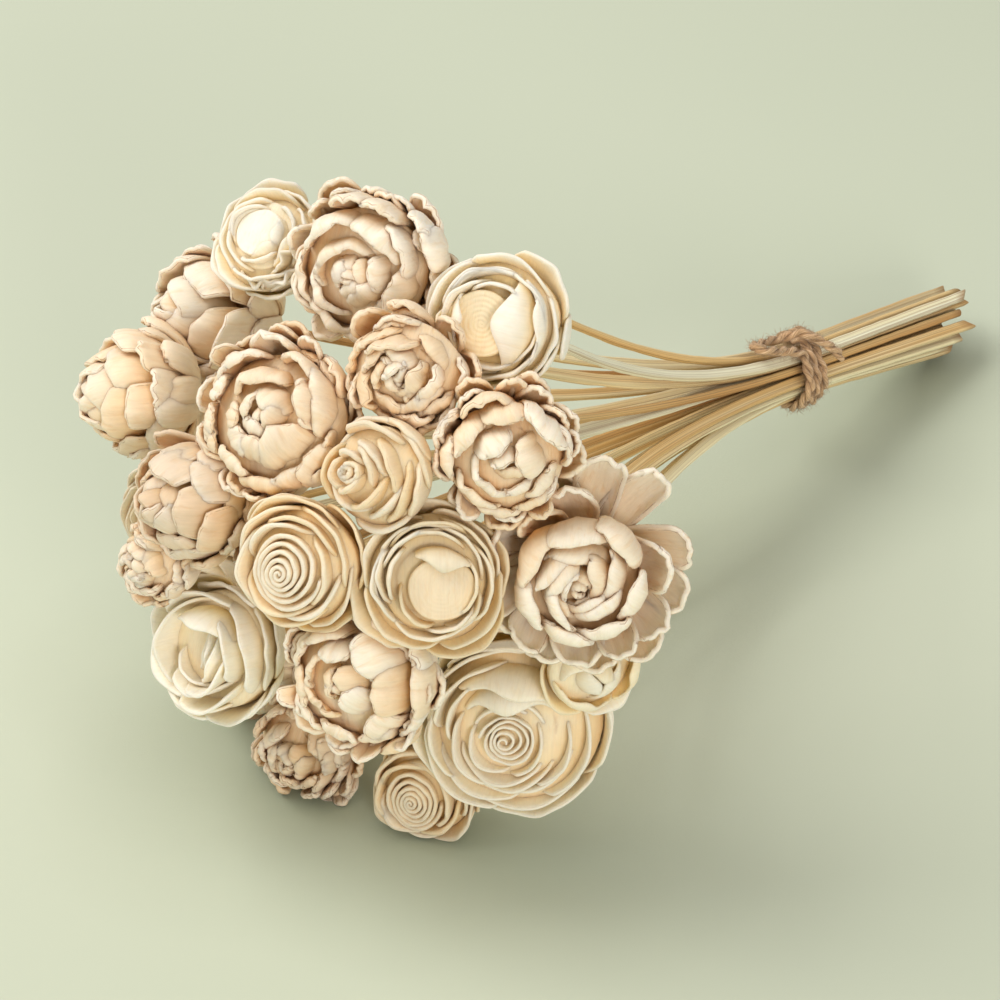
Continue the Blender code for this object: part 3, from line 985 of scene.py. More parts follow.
def placed(flower, petals, middle=(0, 0)):
    """Petals given one by one: turn, widest reach, reach of the tip, height, half width and shape."""
    filler(flower, 0.82, 0.42, 0.42, middle)
    for turn, reach, tip, height, half_width, shape in petals:
        base = -0.35 - 0.5 * min(reach, 1)
        if tip > 0.93 * reach:
            path = ((0.08, base), (0.74 * reach, base - 0.1), (0.98 * reach, height - 0.42), (tip, height))
        else:
            path = ((0.06, base), (1.06 * reach, base), (1.12 * reach + 0.03, height), (tip, height))
        lean = flower.random.uniform(-0.04, 0.08)
        flower.petal(path, half_width, turn, lean=lean, middle=middle, **shape)


def fringe(flower, petals, reach, height):
    """Narrow folded leaves crowded between a bloom's outer petals and its skirt."""
    turn = flower.random.uniform(0, 360)
    path = ((0.07, -0.7), (0.86 * reach, -0.8), (1.04 * reach, height - 0.3), (reach, height))
    flower.ring(petals, turn, path, 0.20, jitter=2.0, **LEAF)


def skirt(flower, petals, height):
    """Two rows of open shells below a bloom."""
    turn = flower.random.uniform(0, 360)
    path = ((0.07, -0.8), (0.68, -0.95), (0.94, height - 0.24), (0.98, height + 0.12))
    flower.ring(petals + 2, turn + 20, path, 0.22, jitter=1.8, **SHELL)
    path = ((0.06, -0.85), (0.66, -1.0), (1.02, height - 0.42), (1.08, height - 0.04))
    flower.ring(petals, turn, path, 0.29, jitter=1.6, **SHELL)


def blocky_peony(flower):
    """A bloom of large blocky pillows, with knobs on one side and long bands below."""
    near = (
        (70, 0.42, 0.08, 0.62, 0.28, PILLOW), (-15, 0.32, 0.02, 0.64, 0.19, PILLOW),
        (150, 0.14, 0.0, 0.58, 0.11, PILLOW), (172, 0.34, 0.22, 0.60, 0.22, BAND),
        (250, 0.34, 0.12, 0.57, 0.21, PILLOW), (-42, 0.68, 0.22, 0.60, 0.40, PILLOW),
        (262, 0.60, 0.30, 0.53, 0.19, PILLOW), (222, 0.64, 0.36, 0.48, 0.22, PILLOW),
        (24, 0.70, 0.46, 0.60, 0.32, PILLOW), (112, 0.62, 0.42, 0.62, 0.44, BAND),
        (190, 0.56, 0.38, 0.50, 0.16, PILLOW),
    )
    outer = (
        (24, 0.88, 0.74, 0.52, 0.42, BAND), (-23, 0.98, 0.80, 0.30, 0.26, PILLOW),
        (135, 0.84, 0.74, 0.46, 0.36, BAND), (166, 0.80, 0.64, 0.40, 0.17, PILLOW),
        (195, 0.84, 0.70, 0.34, 0.18, BAND), (214, 0.90, 0.74, 0.28, 0.20, BAND),
        (243, 0.82, 0.64, 0.36, 0.27, BAND), (278, 0.92, 0.78, 0.28, 0.33, BAND),
        (311, 0.90, 0.78, 0.30, 0.32, BAND), (100, 1.04, 1.02, 0.38, 0.32, SHELL),
        (68, 0.92, 0.88, 0.50, 0.36, SHELL), (46, 1.08, 1.06, 0.18, 0.28, SHELL),
    )
    placed(flower, near, (0.16, 0.0))
    placed(flower, outer, (0.04, 0.0))
    skirt(flower, 9, -0.06)
    fringe(flower, 12, 1.0, 0.18)


def nested_peony(flower):
    """A bloom of long crescents nested on one side, pillows on the other and tall shells behind."""
    knob = ((0.0, -0.2), (0.10, 0.0), (0.12, 0.58), (0.02, 0.62))
    bud = ((0.05, -0.2), (0.34, -0.1), (0.30, 0.72), (0.05, 0.62))
    flower.ring(2, 75, knob, 0.14, jitter=1.6, **PILLOW)
    flower.ring(4, 20, bud, 0.19, jitter=1.6, **PILLOW)
    petals = (
        (-48, 0.44, 0.16, 0.60, 0.31, PILLOW), (12, 0.46, 0.28, 0.60, 0.22, PILLOW),
        (-10, 0.74, 0.50, 0.52, 0.33, PILLOW), (-38, 0.68, 0.48, 0.44, 0.22, PILLOW),
        (135, 0.48, 0.38, 0.62, 0.58, BAND), (214, 0.62, 0.50, 0.50, 0.46, BAND),
        (240, 0.84, 0.70, 0.34, 0.50, BAND), (194, 0.82, 0.72, 0.38, 0.34, BAND),
        (200, 0.98, 0.96, 0.20, 0.36, SHELL), (130, 0.80, 0.68, 0.56, 0.44, BAND),
        (62, 0.78, 0.58, 0.66, 0.44, BAND), (30, 0.88, 0.85, 0.60, 0.38, SHELL),
        (275, 0.92, 0.80, 0.26, 0.30, BAND), (310, 0.92, 0.80, 0.26, 0.30, BAND),
        (98, 1.06, 1.04, 0.46, 0.28, SHELL), (72, 1.06, 1.02, 0.52, 0.30, SHELL),
        (46, 1.18, 1.15, 0.36, 0.25, SHELL), (24, 1.14, 1.02, 0.40, 0.28, BAND),
        (0, 1.08, 1.06, 0.22, 0.36, SHELL),
    )
    placed(flower, petals)
    skirt(flower, 8, -0.14)
    fringe(flower, 10, 1.0, 0.08)


def loose_peony(flower):
    """A bloom of a few big pillows inside long curled leaves that stand well apart."""
    petals = (
        (110, 0.26, 0.02, 0.62, 0.24, PILLOW), (265, 0.26, 0.04, 0.58, 0.26, PILLOW),
        (15, 0.56, 0.14, 0.64, 0.30, PILLOW), (125, 0.54, 0.22, 0.62, 0.32, PILLOW),
        (225, 0.52, 0.42, 0.54, 0.50, BAND), (300, 0.50, 0.36, 0.46, 0.30, BAND),
        (228, 0.76, 0.66, 0.36, 0.42, BAND), (178, 0.92, 0.80, 0.34, 0.30, BAND),
        (140, 0.82, 0.62, 0.50, 0.38, BAND), (96, 0.84, 0.60, 0.56, 0.34, BAND),
        (105, 1.08, 1.02, 0.44, 0.44, SHELL), (45, 0.86, 0.66, 0.62, 0.42, PILLOW),
        (14, 1.0, 0.95, 0.42, 0.34, SHELL), (-35, 0.74, 0.52, 0.36, 0.34, BAND),
        (-62, 0.80, 0.68, 0.26, 0.32, BAND), (262, 0.84, 0.72, 0.24, 0.34, BAND),
        (150, 1.12, 1.10, 0.22, 0.30, SHELL),
    )
    placed(flower, petals, (0.0, -0.06))
    skirt(flower, 9, 0.02)


def leaning_peony(flower):
    """A bloom whose bud lies to one side, under big pillows piled on the other."""
    near = (
        (180, 0.26, 0.02, 0.62, 0.30, PILLOW), (280, 0.18, 0.0, 0.58, 0.16, PILLOW),
        (18, 0.44, 0.06, 0.64, 0.20, PILLOW), (-38, 0.50, 0.18, 0.60, 0.22, PILLOW),
        (100, 0.58, 0.32, 0.62, 0.24, PILLOW), (42, 0.86, 0.46, 0.66, 0.34, PILLOW),
        (5, 0.84, 0.56, 0.60, 0.34, PILLOW), (-37, 0.90, 0.64, 0.42, 0.22, PILLOW),
        (165, 0.48, 0.38, 0.54, 0.28, BAND), (230, 0.52, 0.40, 0.50, 0.34, BAND),
        (118, 0.72, 0.60, 0.56, 0.34, BAND),
    )
    outer = (
        (8, 1.04, 0.92, 0.42, 0.42, BAND), (26, 1.12, 1.08, 0.34, 0.42, SHELL),
        (75, 0.98, 0.86, 0.48, 0.44, BAND), (122, 1.0, 0.97, 0.38, 0.38, SHELL),
        (160, 0.86, 0.74, 0.36, 0.28, BAND), (198, 0.80, 0.60, 0.40, 0.26, PILLOW),
        (224, 0.90, 0.78, 0.28, 0.28, BAND), (256, 0.84, 0.64, 0.32, 0.28, PILLOW),
        (298, 0.86, 0.72, 0.30, 0.28, BAND), (-22, 1.08, 1.02, 0.20, 0.32, SHELL),
        (-48, 1.06, 0.96, 0.08, 0.26, BAND),
    )
    placed(flower, near, (-0.14, 0.0))
    placed(flower, outer, (-0.03, 0.0))
    skirt(flower, 9, 0.0)
    fringe(flower, 11, 1.0, 0.16)


def full_peony(flower, crowding=1.0):
    """A plump bloom: thick almond petals, rolled bands and half-open shells round a blocky bud."""
    random = flower.random
    turn = random.uniform(0, 360)
    bud = random.uniform(-0.08, 0.08, 2)
    filler(flower, 0.86, 0.44, 0.42)
    closed, opening = (PILLOW, PILLOW, BAND), (PILLOW, BAND, SHELL)
    open_wide, lowest = (PILLOW, SHELL, BAND), (SHELL, SHELL, PILLOW)
    for petals, shift, path, half_width, shapes, sway in (
        (2, 80, ((0.0, -0.2), (0.12, 0.0), (0.12, 0.60), (0.02, 0.64)), 0.15, (PILLOW,), 1),
        (4, 0, ((0.03, -0.2), (0.28, -0.1), (0.25, 0.72), (0.06, 0.64)), 0.24, (PILLOW,), 1),
        (5, 30, ((0.08, -0.3), (0.48, -0.2), (0.45, 0.70), (0.20, 0.66)), 0.29, closed, 1),
        (6, 10, ((0.08, -0.45), (0.66, -0.35), (0.68, 0.52), (0.44, 0.58)), 0.31, (PILLOW, BAND), 0.6),
        (8, 50, ((0.08, -0.6), (0.78, -0.5), (0.86, 0.22), (0.70, 0.44)), 0.28, opening, 0),
        (9, 15, ((0.07, -0.75), (0.76, -0.75), (0.98, -0.08), (0.92, 0.22)), 0.27, open_wide, 0),
        (10, 35, ((0.06, -0.85), (0.66, -1.0), (1.04, -0.38), (1.10, -0.02)), 0.27, lowest, 0),
    ):
        petals = round(petals * crowding)
        for index in range(petals):
            shape = dict(shapes[random.integers(len(shapes))], middle=bud * sway, jitter=1.8)
            shape["lean"] = random.uniform(0.0, 0.16)
            at = turn + shift + 360 / petals * (index + random.uniform(-0.1, 0.1))
            flower.ring(1, at, path, half_width / crowding, **shape)


def small_peony(flower):
    """A small bloom with fewer petals to a row."""
    full_peony(flower, 0.8)


def crowded_peony(flower):
    """A small bloom with many narrow petals."""
    full_peony(flower, 1.25)


def lotus(flower):
    """A bud of large blunt scales, closing to a point, over a skirt of small curled petals."""
    turn = flower.random.uniform(0, 360)
    scale = dict(blunt=0.5, jitter=1.5, size=(12, 13), wave=0.03, crumple=0.05)
    curled = dict(thickness=1.3, jitter=2.2, plump=-0.3, cup=0.5, roll=0.12, hug=0.8)
    curled.update(wave=0.06, crumple=0.06)
    tight = dict(scale, thickness=1.7, hug=1.1, plump=0.4)
    upper = dict(scale, thickness=2.0, hug=1.0)
    lower = dict(scale, thickness=2.0, hug=0.95)
    loose = dict(scale, thickness=1.9, hug=0.9, cup=0.1)
    for petals, shift, path, half_width, shape in (
        (3, 0, ((0.03, 0.0), (0.32, 0.1), (0.30, 0.78), (0.05, 0.88)), 0.32, tight),
        (4, 40, ((0.08, -0.3), (0.60, -0.2), (0.56, 0.60), (0.24, 0.78)), 0.44, upper),
        (5, 10, ((0.08, -0.5), (0.82, -0.45), (0.82, 0.36), (0.52, 0.60)), 0.46, lower),
        (6, 60, ((0.07, -0.7), (0.84, -0.7), (0.98, 0.10), (0.78, 0.36)), 0.42, loose),
        (9, 20, ((0.06, -0.78), (0.74, -0.9), (1.04, -0.25), (0.98, 0.08)), 0.28, curled),
        (10, 5, ((0.05, -0.8), (0.60, -1.05), (1.02, -0.6), (1.10, -0.20)), 0.26, curled),
    ):
        flower.ring(petals, turn + shift, path, half_width, **shape)


def sheets(flower, petals, turn, reach, height, half_width, tip=0.0, **shape):
    """A row of broad sheets standing up to this reach and height, their tips bent out or in."""
    base = -0.55 - 0.35 * reach
    path = ((0.08, base), (reach, base), (reach - 0.03, height - 0.30), (reach + tip + 0.02, height))
    flower.ring(petals, turn, path, half_width, **{**SHEET, "jitter": 1.0, **shape})


def single_sheets(flower, rows, **shape):
    """Sheets given one by one: turn, reach, height, half width and how far the tip bends out."""
    for turn, reach, height, half_width, tip in rows:
        sheets(flower, 1, turn, reach, height, half_width, tip, **shape)


def spiral_rose(flower):
    """A ribbon rolled into a spiral, its outer turns wide apart, wrapped in broad sheets."""
    turn = flower.random.uniform(0, 360)
    filler(flower, 0.90, 0.30, 0.32)
    flower.coil(0.60, 6, 0.48, 0.10, 0.55, 1.2, (-0.12, -0.10), stretch=(0.94, 1.06))
    sheets(flower, 3, turn, 0.66, 0.42, 0.74, 0.03, thickness=1.1, middle=(-0.07, -0.05), jitter=0.6)
    sheets(flower, 3, turn + 60, 0.73, 0.38, 0.82, 0.04, thickness=1.1, middle=(-0.04, -0.03), jitter=0.6)
    sheets(flower, 3, turn + 20, 0.81, 0.30, 0.88, 0.05, thickness=1.0, jitter=0.7)
    sheets(flower, 3, turn + 80, 0.89, 0.18, 0.90, 0.09, wave=0.01)
    sheets(flower, 4, turn + 45, 0.96, 0.03, 0.72, 0.14, wave=0.015)


def fanned_rose(flower):
    """A bud at one side of the bloom, with wide petals fanning away from it."""
    filler(flower, 0.92, 0.32, 0.36)
    flower.coil(0.20, 2.6, 0.52, 0.02, 0.5, 1.5, (-0.42, -0.02), growth=1.0)
    for turn, reach, height, middle, wide in (
        (10, 0.30, 0.52, -0.38, 0.34), (100, 0.34, 0.50, -0.36, 0.34), (230, 0.36, 0.42, -0.30, 0.44),
        (20, 0.48, 0.50, -0.32, 0.50), (330, 0.60, 0.44, -0.26, 0.56), (75, 0.58, 0.44, -0.26, 0.52),
        (200, 0.56, 0.34, -0.20, 0.60), (5, 0.74, 0.38, -0.18, 0.66), (60, 0.82, 0.30, -0.14, 0.60),
        (300, 0.76, 0.30, -0.12, 0.62), (140, 0.74, 0.26, -0.14, 0.64), (20, 0.90, 0.24, -0.06, 0.66),
        (340, 0.98, 0.12, 0.0, 0.60), (80, 0.98, 0.10, 0.0, 0.60), (250, 0.92, 0.10, 0.0, 0.70),
        (170, 0.90, 0.08, 0.0, 0.70), (40, 1.04, 0.02, 0.0, 0.56), (120, 1.02, -0.02, 0.0, 0.56),
    ):
        sheets(flower, 1, turn, reach, height, wide, 0.02, thickness=1.5, plump=0.0, middle=(middle, 0.0))


def wrapped_rose(flower):
    """A tight roll in smooth rings, with broad ivory sheets folding over it from one side."""
    near = (-0.06, -0.09)
    calm = dict(crumple=0.005, jitter=0.4)
    filler(flower, 0.94, 0.24, 0.36)
    flower.coil(0.30, 4.5, 0.34, 0.0, 0.45, 0.8, (-0.07, -0.10), growth=1.0)
    sheets(flower, 3, 100, 0.38, 0.33, 0.44, 0.0, middle=near, **calm)
    sheets(flower, 2, 250, 0.46, 0.30, 0.60, 0.0, middle=near, **calm)
    rows = ((285, 0.54, 0.27, 0.66, 0.02), (195, 0.54, 0.34, 0.50, 0.02))
    single_sheets(flower, rows, middle=near, **calm)
    flower.petal(((0.10, -0.6), (0.72, -0.5), (0.66, 0.54), (0.28, 0.40)), 0.60, 95, **SHEET)
    flower.petal(((0.10, -0.7), (0.86, -0.6), (0.84, 0.52), (0.50, 0.54)), 0.76, 82, **SHEET)
    for turn, reach, height, wide in (
        (350, 0.62, 0.28, 0.52), (175, 0.66, 0.36, 0.46), (270, 0.66, 0.20, 0.80), (158, 0.75, 0.38, 0.54),
        (350, 0.80, 0.22, 0.74), (170, 0.84, 0.30, 0.60), (230, 0.80, 0.16, 0.66), (290, 0.84, 0.06, 0.80),
        (135, 0.92, 0.34, 0.66), (65, 0.96, 0.34, 0.86), (10, 1.0, 0.12, 0.92), (200, 0.94, 0.10, 0.74),
    ):
        sheets(flower, 1, turn, reach, height, wide, 0.04, **calm)
    sheets(flower, 4, 110, 0.98, -0.06, 0.80, 0.08, wave=0.01, jitter=0.5)


def outer_rows(flower, turn, wave):
    """The three outermost rows of a button rose."""
    sheets(flower, 4, turn, 0.80, 0.30, 0.76, 0.03, wave=wave, jitter=0.5)
    sheets(flower, 4, turn + 45, 0.90, 0.14, 0.84, 0.08, wave=wave, jitter=0.6)
    sheets(flower, 4, turn + 15, 0.98, -0.02, 0.74, 0.13, wave=wave)


def ruffled_button_rose(flower):
    """A flat white disc in smooth sheets, ruffled along one side."""
    near = (-0.08, 0.02)
    folded = ((0.10, -0.4), (0.56, -0.3), (0.54, 0.44), (0.28, 0.38))
    filler(flower, 0.94, 0.22, 0.34)
    flower.disc(0.46, 0.34, 0.03, 0.5, 5, groove=0.04, middle=near, hollow=0)
    flower.disc(0.66, 0.20, 0.05, 0.5, 6, middle=near)
    single_sheets(flower, ((110, 0.50, 0.40, 0.56, 0.02), (190, 0.50, 0.38, 0.54, 0.02)), middle=near)
    flower.petal(folded, 0.36, 8, middle=near, **SHEET)
    flower.petal(folded, 0.36, 316, middle=near, **SHEET)
    sheets(flower, 1, 262, 0.50, 0.38, 0.46, 0.02, middle=near)
    sheets(flower, 1, 60, 0.60, 0.42, 0.52, 0.0)
    flower.petal(((0.10, -0.5), (0.72, -0.3), (0.72, 0.40), (0.50, 0.40)), 0.46, 352, **SHEET)
    sheets(flower, 1, 300, 0.64, 0.34, 0.60, 0.03, wave=0.11)
    single_sheets(flower, ((150, 0.64, 0.36, 0.66, 0.03), (230, 0.64, 0.32, 0.62, 0.03)))
    sheets(flower, 1, 285, 0.78, 0.22, 0.70, 0.06, wave=0.12)
    sheets(flower, 1, 325, 0.86, 0.16, 0.60, 0.06, wave=0.10)
    outer_rows(flower, 20, 0.02)


def crossed_button_rose(flower):
    """A sunk, finely lined disc, with a white fold on one side and a broad sheet across the other."""
    filler(flower, 0.94, 0.14, 0.28)
    flower.disc(0.52, 0.20, -0.08, 0.4, 7, groove=0.26, middle=(-0.14, -0.05), hollow=0.7)
    flower.disc(0.74, 0.08, 0.05, 0.4, 6, hollow=0.9)
    flower.petal(((0.10, -0.4), (0.66, -0.3), (0.68, 0.50), (0.44, 0.36)), 0.40, 182, **SPREAD_FLAT)
    flower.petal(((0.10, -0.6), (0.86, -0.5), (0.86, 0.62), (0.14, 0.44)), 0.92, 358, **SPREAD_WIDE)
    rows = (
        (95, 0.60, 0.36, 0.60, 0.0), (155, 0.66, 0.40, 0.54, 0.0), (235, 0.64, 0.30, 0.62, 0.0),
        (285, 0.72, 0.30, 0.60, 0.02), (75, 0.74, 0.34, 0.66, 0.02), (140, 0.78, 0.32, 0.66, 0.02),
        (225, 0.76, 0.22, 0.72, 0.04),
    )
    single_sheets(flower, rows)
    flower.petal(((0.10, -0.7), (0.96, -0.6), (0.94, 0.46), (0.74, 0.40)), 0.76, 10, **SHEET)
    sheets(flower, 1, 0, 1.16, -0.04, 0.36, 0.02)
    outer_rows(flower, 35, 0.012)


def pocket_button_rose(flower):
    """A pale disc under a bright folded sheet, with nested sheets above it and a pocket below."""
    near = (0.12, -0.08)
    bright = ((0.10, -0.4), (0.60, -0.3), (0.64, 0.62), (0.26, 0.42))
    pocket = ((0.10, -0.5), (0.66, -0.4), (0.66, 0.20), (0.60, 0.50))
    filler(flower, 0.94, 0.16, 0.3)
    flower.disc(0.47, 0.32, 0.05, 0.5, 8, groove=0.10, middle=(0.14, -0.10), hollow=0.5)
    flower.disc(0.72, 0.10, 0.05, 0.4, 6, middle=(0.02, -0.02), hollow=0.6)
    flower.petal(bright, 0.42, 80, middle=near, **FOLDED_OVER)
    rows = ((20, 0.54, 0.40, 0.50, 0.0), (330, 0.56, 0.34, 0.44, 0.0), (200, 0.54, 0.34, 0.42, 0.04))
    single_sheets(flower, rows, middle=near)
    flower.petal(pocket, 0.42, 168, **SHEET)
    rows = (
        (90, 0.66, 0.42, 0.62, 0.0), (270, 0.68, 0.30, 0.48, 0.06), (225, 0.68, 0.26, 0.50, 0.05),
        (75, 0.74, 0.38, 0.66, 0.0), (15, 0.72, 0.34, 0.60, 0.0), (100, 0.82, 0.32, 0.70, 0.0),
        (50, 0.88, 0.26, 0.70, 0.02), (165, 0.80, 0.24, 0.70, 0.05), (300, 0.80, 0.20, 0.66, 0.04),
    )
    single_sheets(flower, rows)
    outer_rows(flower, 5, 0.012)


def closed_rose(flower):
    """A bloom still half shut, in a few broad smooth sheets folded over each other."""
    filler(flower, 0.86, 0.26, 0.3)
    for turn, reach, tip, height, wide in (
        (60, 0.30, 0.04, 0.56, 0.50), (200, 0.44, 0.10, 0.52, 0.62), (320, 0.62, 0.16, 0.46, 0.80),
        (120, 0.74, 0.50, 0.44, 0.80), (240, 0.84, 0.62, 0.38, 0.84), (350, 0.98, 0.70, 0.40, 0.92),
        (80, 0.96, 0.90, 0.24, 0.84),
    ):
        path = ((0.08, -0.7), (reach + 0.12, -0.7), (reach + 0.14, height + 0.02), (tip, height))
        flower.petal(path, wide, turn, **SHEET)
    sheets(flower, 4, 30, 1.0, -0.02, 0.80, 0.12)


def cup_rose(flower):
    """A deep open cup of broad smooth sheets, those on one side nested across it."""
    filler(flower, 0.86, 0.02, 0.14)
    for turn, reach, wide, height in ((0, 0.02, 0.36, 0.20), (8, 0.16, 0.46, 0.32), (352, 0.30, 0.54, 0.42)):
        path = ((0.10, -0.7), (reach + 0.2, -0.6), (reach + 0.08, 0.0), (reach, height))
        flower.petal(path, wide, turn, **DRAWN_IN)
    flower.petal(((0.10, -0.7), (0.62, -0.7), (0.56, 0.1), (0.42, 0.30)), 0.52, 250, **SHEET)
    flower.petal(((0.10, -0.8), (0.76, -0.7), (0.76, 0.1), (0.70, 0.42)), 0.86, 180, **SHEET)
    flower.petal(((0.10, -0.7), (0.74, -0.6), (0.76, 0.42), (0.46, 0.54)), 0.62, 92, **SHEET)
    rows = (
        (10, 0.50, 0.50, 0.60, 0.0), (318, 0.60, 0.42, 0.62, 0.0), (60, 0.62, 0.46, 0.60, 0.0),
        (350, 0.74, 0.40, 0.68, 0.0), (260, 0.78, 0.30, 0.70, 0.03), (120, 0.80, 0.36, 0.66, 0.03),
        (40, 0.84, 0.30, 0.72, 0.02), (310, 0.86, 0.26, 0.70, 0.03),
    )
    single_sheets(flower, rows)
    sheets(flower, 5, 20, 0.94, 0.06, 0.66, 0.08, wave=0.012)
    sheets(flower, 4, 50, 0.98, -0.1, 0.70, 0.13, wave=0.015)


CARVERS = {"peony": full_peony, "lotus": lotus, "spiral_rose": spiral_rose, "cup_rose": cup_rose}
OWN_CARVERS = {
    "peony_1": nested_peony,
    "peony_2": blocky_peony,
    "peony_3": small_peony,
    "peony_4": loose_peony,
    "peony_5": small_peony,
    "peony_6": open_peony,
    "peony_7": leaning_peony,
    "peony_8": crowded_peony,
    "button_rose_1": ruffled_button_rose,
    "button_rose_2": crossed_button_rose,
    "button_rose_3": pocket_button_rose,
    "button_rose_4": closed_rose,
    "spiral_rose_1": fanned_rose,
    "spiral_rose_4": wrapped_rose,
    "spiral_rose_5": wrapped_rose,
}


def make_flowers(materials):
    for head in HEADS:
        flower = Flower(head)
        (OWN_CARVERS.get(head.name) or CARVERS[kind_of(head)])(flower)
        slot = SLOTS[kind_of(head)]
        piece = flower.finish(materials[slot])
        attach(piece, "root")
        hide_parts(head.name)


# ---------------------------------------------------------------------------- stems and twine


def new_tree(name, numbers, material):
    """A geometry tree with a geometry input, these named numbers and a fixed material."""
    tree = bpy.data.node_groups.new(name, "GeometryNodeTree")
    tree.interface.new_socket("Geometry", in_out="INPUT", socket_type="NodeSocketGeometry")
    for number, value in numbers.items():
        socket = tree.interface.new_socket(number, in_out="INPUT", socket_type="NodeSocketFloat")
        socket.default_value = value
    tree.interface.new_socket("Geometry", in_out="OUTPUT", socket_type="NodeSocketGeometry")
    start = add_node(tree, "NodeGroupInput")
    end = add_node(tree, "NodeGroupOutput")

    def finish(geometry):
        realised = output_of(tree, "GeometryNodeRealizeInstances", {"Geometry": geometry})
        smooth = output_of(tree, "GeometryNodeSetShadeSmooth", {"Geometry": realised})
        coat = {"Geometry": smooth, "Material": material}
        tree.links.new(output_of(tree, "GeometryNodeSetMaterial", coat), end.inputs[0])

    return tree, start.outputs, finish


def store(tree, geometry, name, value):
    inputs = {"Geometry": geometry, "Name": name, "Value": value}
    settings = dict(data_type="FLOAT", domain="POINT")
    return output_of(tree, "GeometryNodeStoreNamedAttribute", inputs, **settings)


def route_mesh(name, points):
    """A line of edges through the points, as the start of a piece that follows them."""
    mesh = bpy.data.meshes.new(name)
    edges = [(i, i + 1) for i in range(len(points) - 1)]
    mesh.from_pydata([tuple(point) for point in points], edges, [])
    piece = bpy.data.objects.new(name, mesh)
    bpy.context.scene.collection.objects.link(piece)
    return piece


def bake(piece, tree, values):
    """Turns the piece into what the tree makes of it with these input values."""
    modifier = piece.modifiers.new(tree.name, "NODES")
    modifier.node_group = tree
    for item in tree.interface.items_tree:
        if item.item_type == "SOCKET" and item.in_out == "INPUT" and item.name in values:
            modifier[item.identifier] = values[item.name]
    bpy.context.view_layer.update()
    graph = bpy.context.evaluated_depsgraph_get()
    route = piece.data
    mesh = bpy.data.meshes.new_from_object(piece.evaluated_get(graph), depsgraph=graph)
    mesh.name = piece.name
    piece.modifiers.remove(modifier)
    piece.data = mesh
    bpy.data.meshes.remove(route)


def smooth_route(tree, line, step):
    """The piece's line of edges as a smooth curve, with a point at every step along it."""
    curve = output_of(tree, "GeometryNodeMeshToCurve", {"Mesh": line})
    curve = output_of(tree, "GeometryNodeCurveSplineType", {"Curve": curve}, spline_type="CATMULL_ROM")
    inputs = {"Curve": curve, "Length": step}
    return output_of(tree, "GeometryNodeResampleCurve", inputs, mode="LENGTH")


def circle(tree, radius, resolution):
    inputs = {"Radius": radius, "Resolution": resolution}
    return output_of(tree, "GeometryNodeCurvePrimitiveCircle", inputs, mode="RADIUS")


def swept(tree, curve, profile):
    """Sweeps a profile along a curve, keeping where each point is along it and round it."""
    reach = add_node(tree, "GeometryNodeSplineParameter")
    curve = store(tree, curve, "along", reach.outputs["Length"])
    turn = add_node(tree, "GeometryNodeSplineParameter")
    profile = store(tree, profile, "around", turn.outputs["Factor"])
    inputs = {"Curve": curve, "Profile Curve": profile, "Fill Caps": True}
    return output_of(tree, "GeometryNodeCurveToMesh", inputs)


def moved(tree, geometry, offset):
    return output_of(tree, "GeometryNodeSetPosition", {"Geometry": geometry, "Offset": offset})


def roughened(tree, geometry, noise, height):
    """The geometry with its skin pushed out and in by up to half this height, as the noise has it."""
    push = math_node(tree, "MULTIPLY", math_node(tree, "SUBTRACT", noise, 0.5), height)
    return moved(tree, geometry, scaled(tree, output_of(tree, "GeometryNodeInputNormal"), push))


def flat_outline(tree, width, thickness):
    """A split reed's outline: a narrow rectangle with rounded corners and points all round."""
    inputs = {"Width": thickness, "Height": width}
    outline = output_of(tree, "GeometryNodeCurvePrimitiveQuadrilateral", inputs)
    inputs = {"Curve": outline, "Radius": SPLIT_ROUNDING, "Count": 2}
    outline = output_of(tree, "GeometryNodeFilletCurve", inputs, mode="POLY")
    inputs = {"Curve": outline, "Count": SPLIT_OUTLINE_POINTS}
    return output_of(tree, "GeometryNodeResampleCurve", inputs, mode="COUNT")


def stem_tree(material, flat):
    """A stem split or grown along its route: uneven edges, a slight swell, and square cut ends."""
    numbers = {"Width": SPLIT_WIDTH, "Thickness": SPLIT_THICKNESS, "Tone": 0.5, "Seed": 0.0}
    tree, given, finish = new_tree("flat_stem" if flat else "round_stem", numbers, material)
    curve = smooth_route(tree, given["Geometry"], STEM_STEP)
    curve = output_of(tree, "GeometryNodeSetCurveNormal", {"Curve": curve}, mode="Z_UP")
    inputs = {"Curve": curve, "Tilt": math.pi / 2 - FLAT_FACES}
    curve = output_of(tree, "GeometryNodeSetCurveTilt", inputs)
    if flat:
        outline = flat_outline(tree, given["Width"], given["Thickness"])
    else:
        outline = circle(tree, math_node(tree, "MULTIPLY", given["Width"], 0.5), REED_SIDES)
    stem = swept(tree, curve, outline)
    shift = combined(tree, given["Seed"], given["Seed"], given["Seed"])
    spot = vector_math(tree, "ADD", output_of(tree, "GeometryNodeInputPosition"), shift)
    stem = roughened(tree, stem, noise_node(tree, spot, 70, 2), STEM_UNEVENNESS)
    finish(store(tree, stem, "tone", given["Tone"]))
    return tree


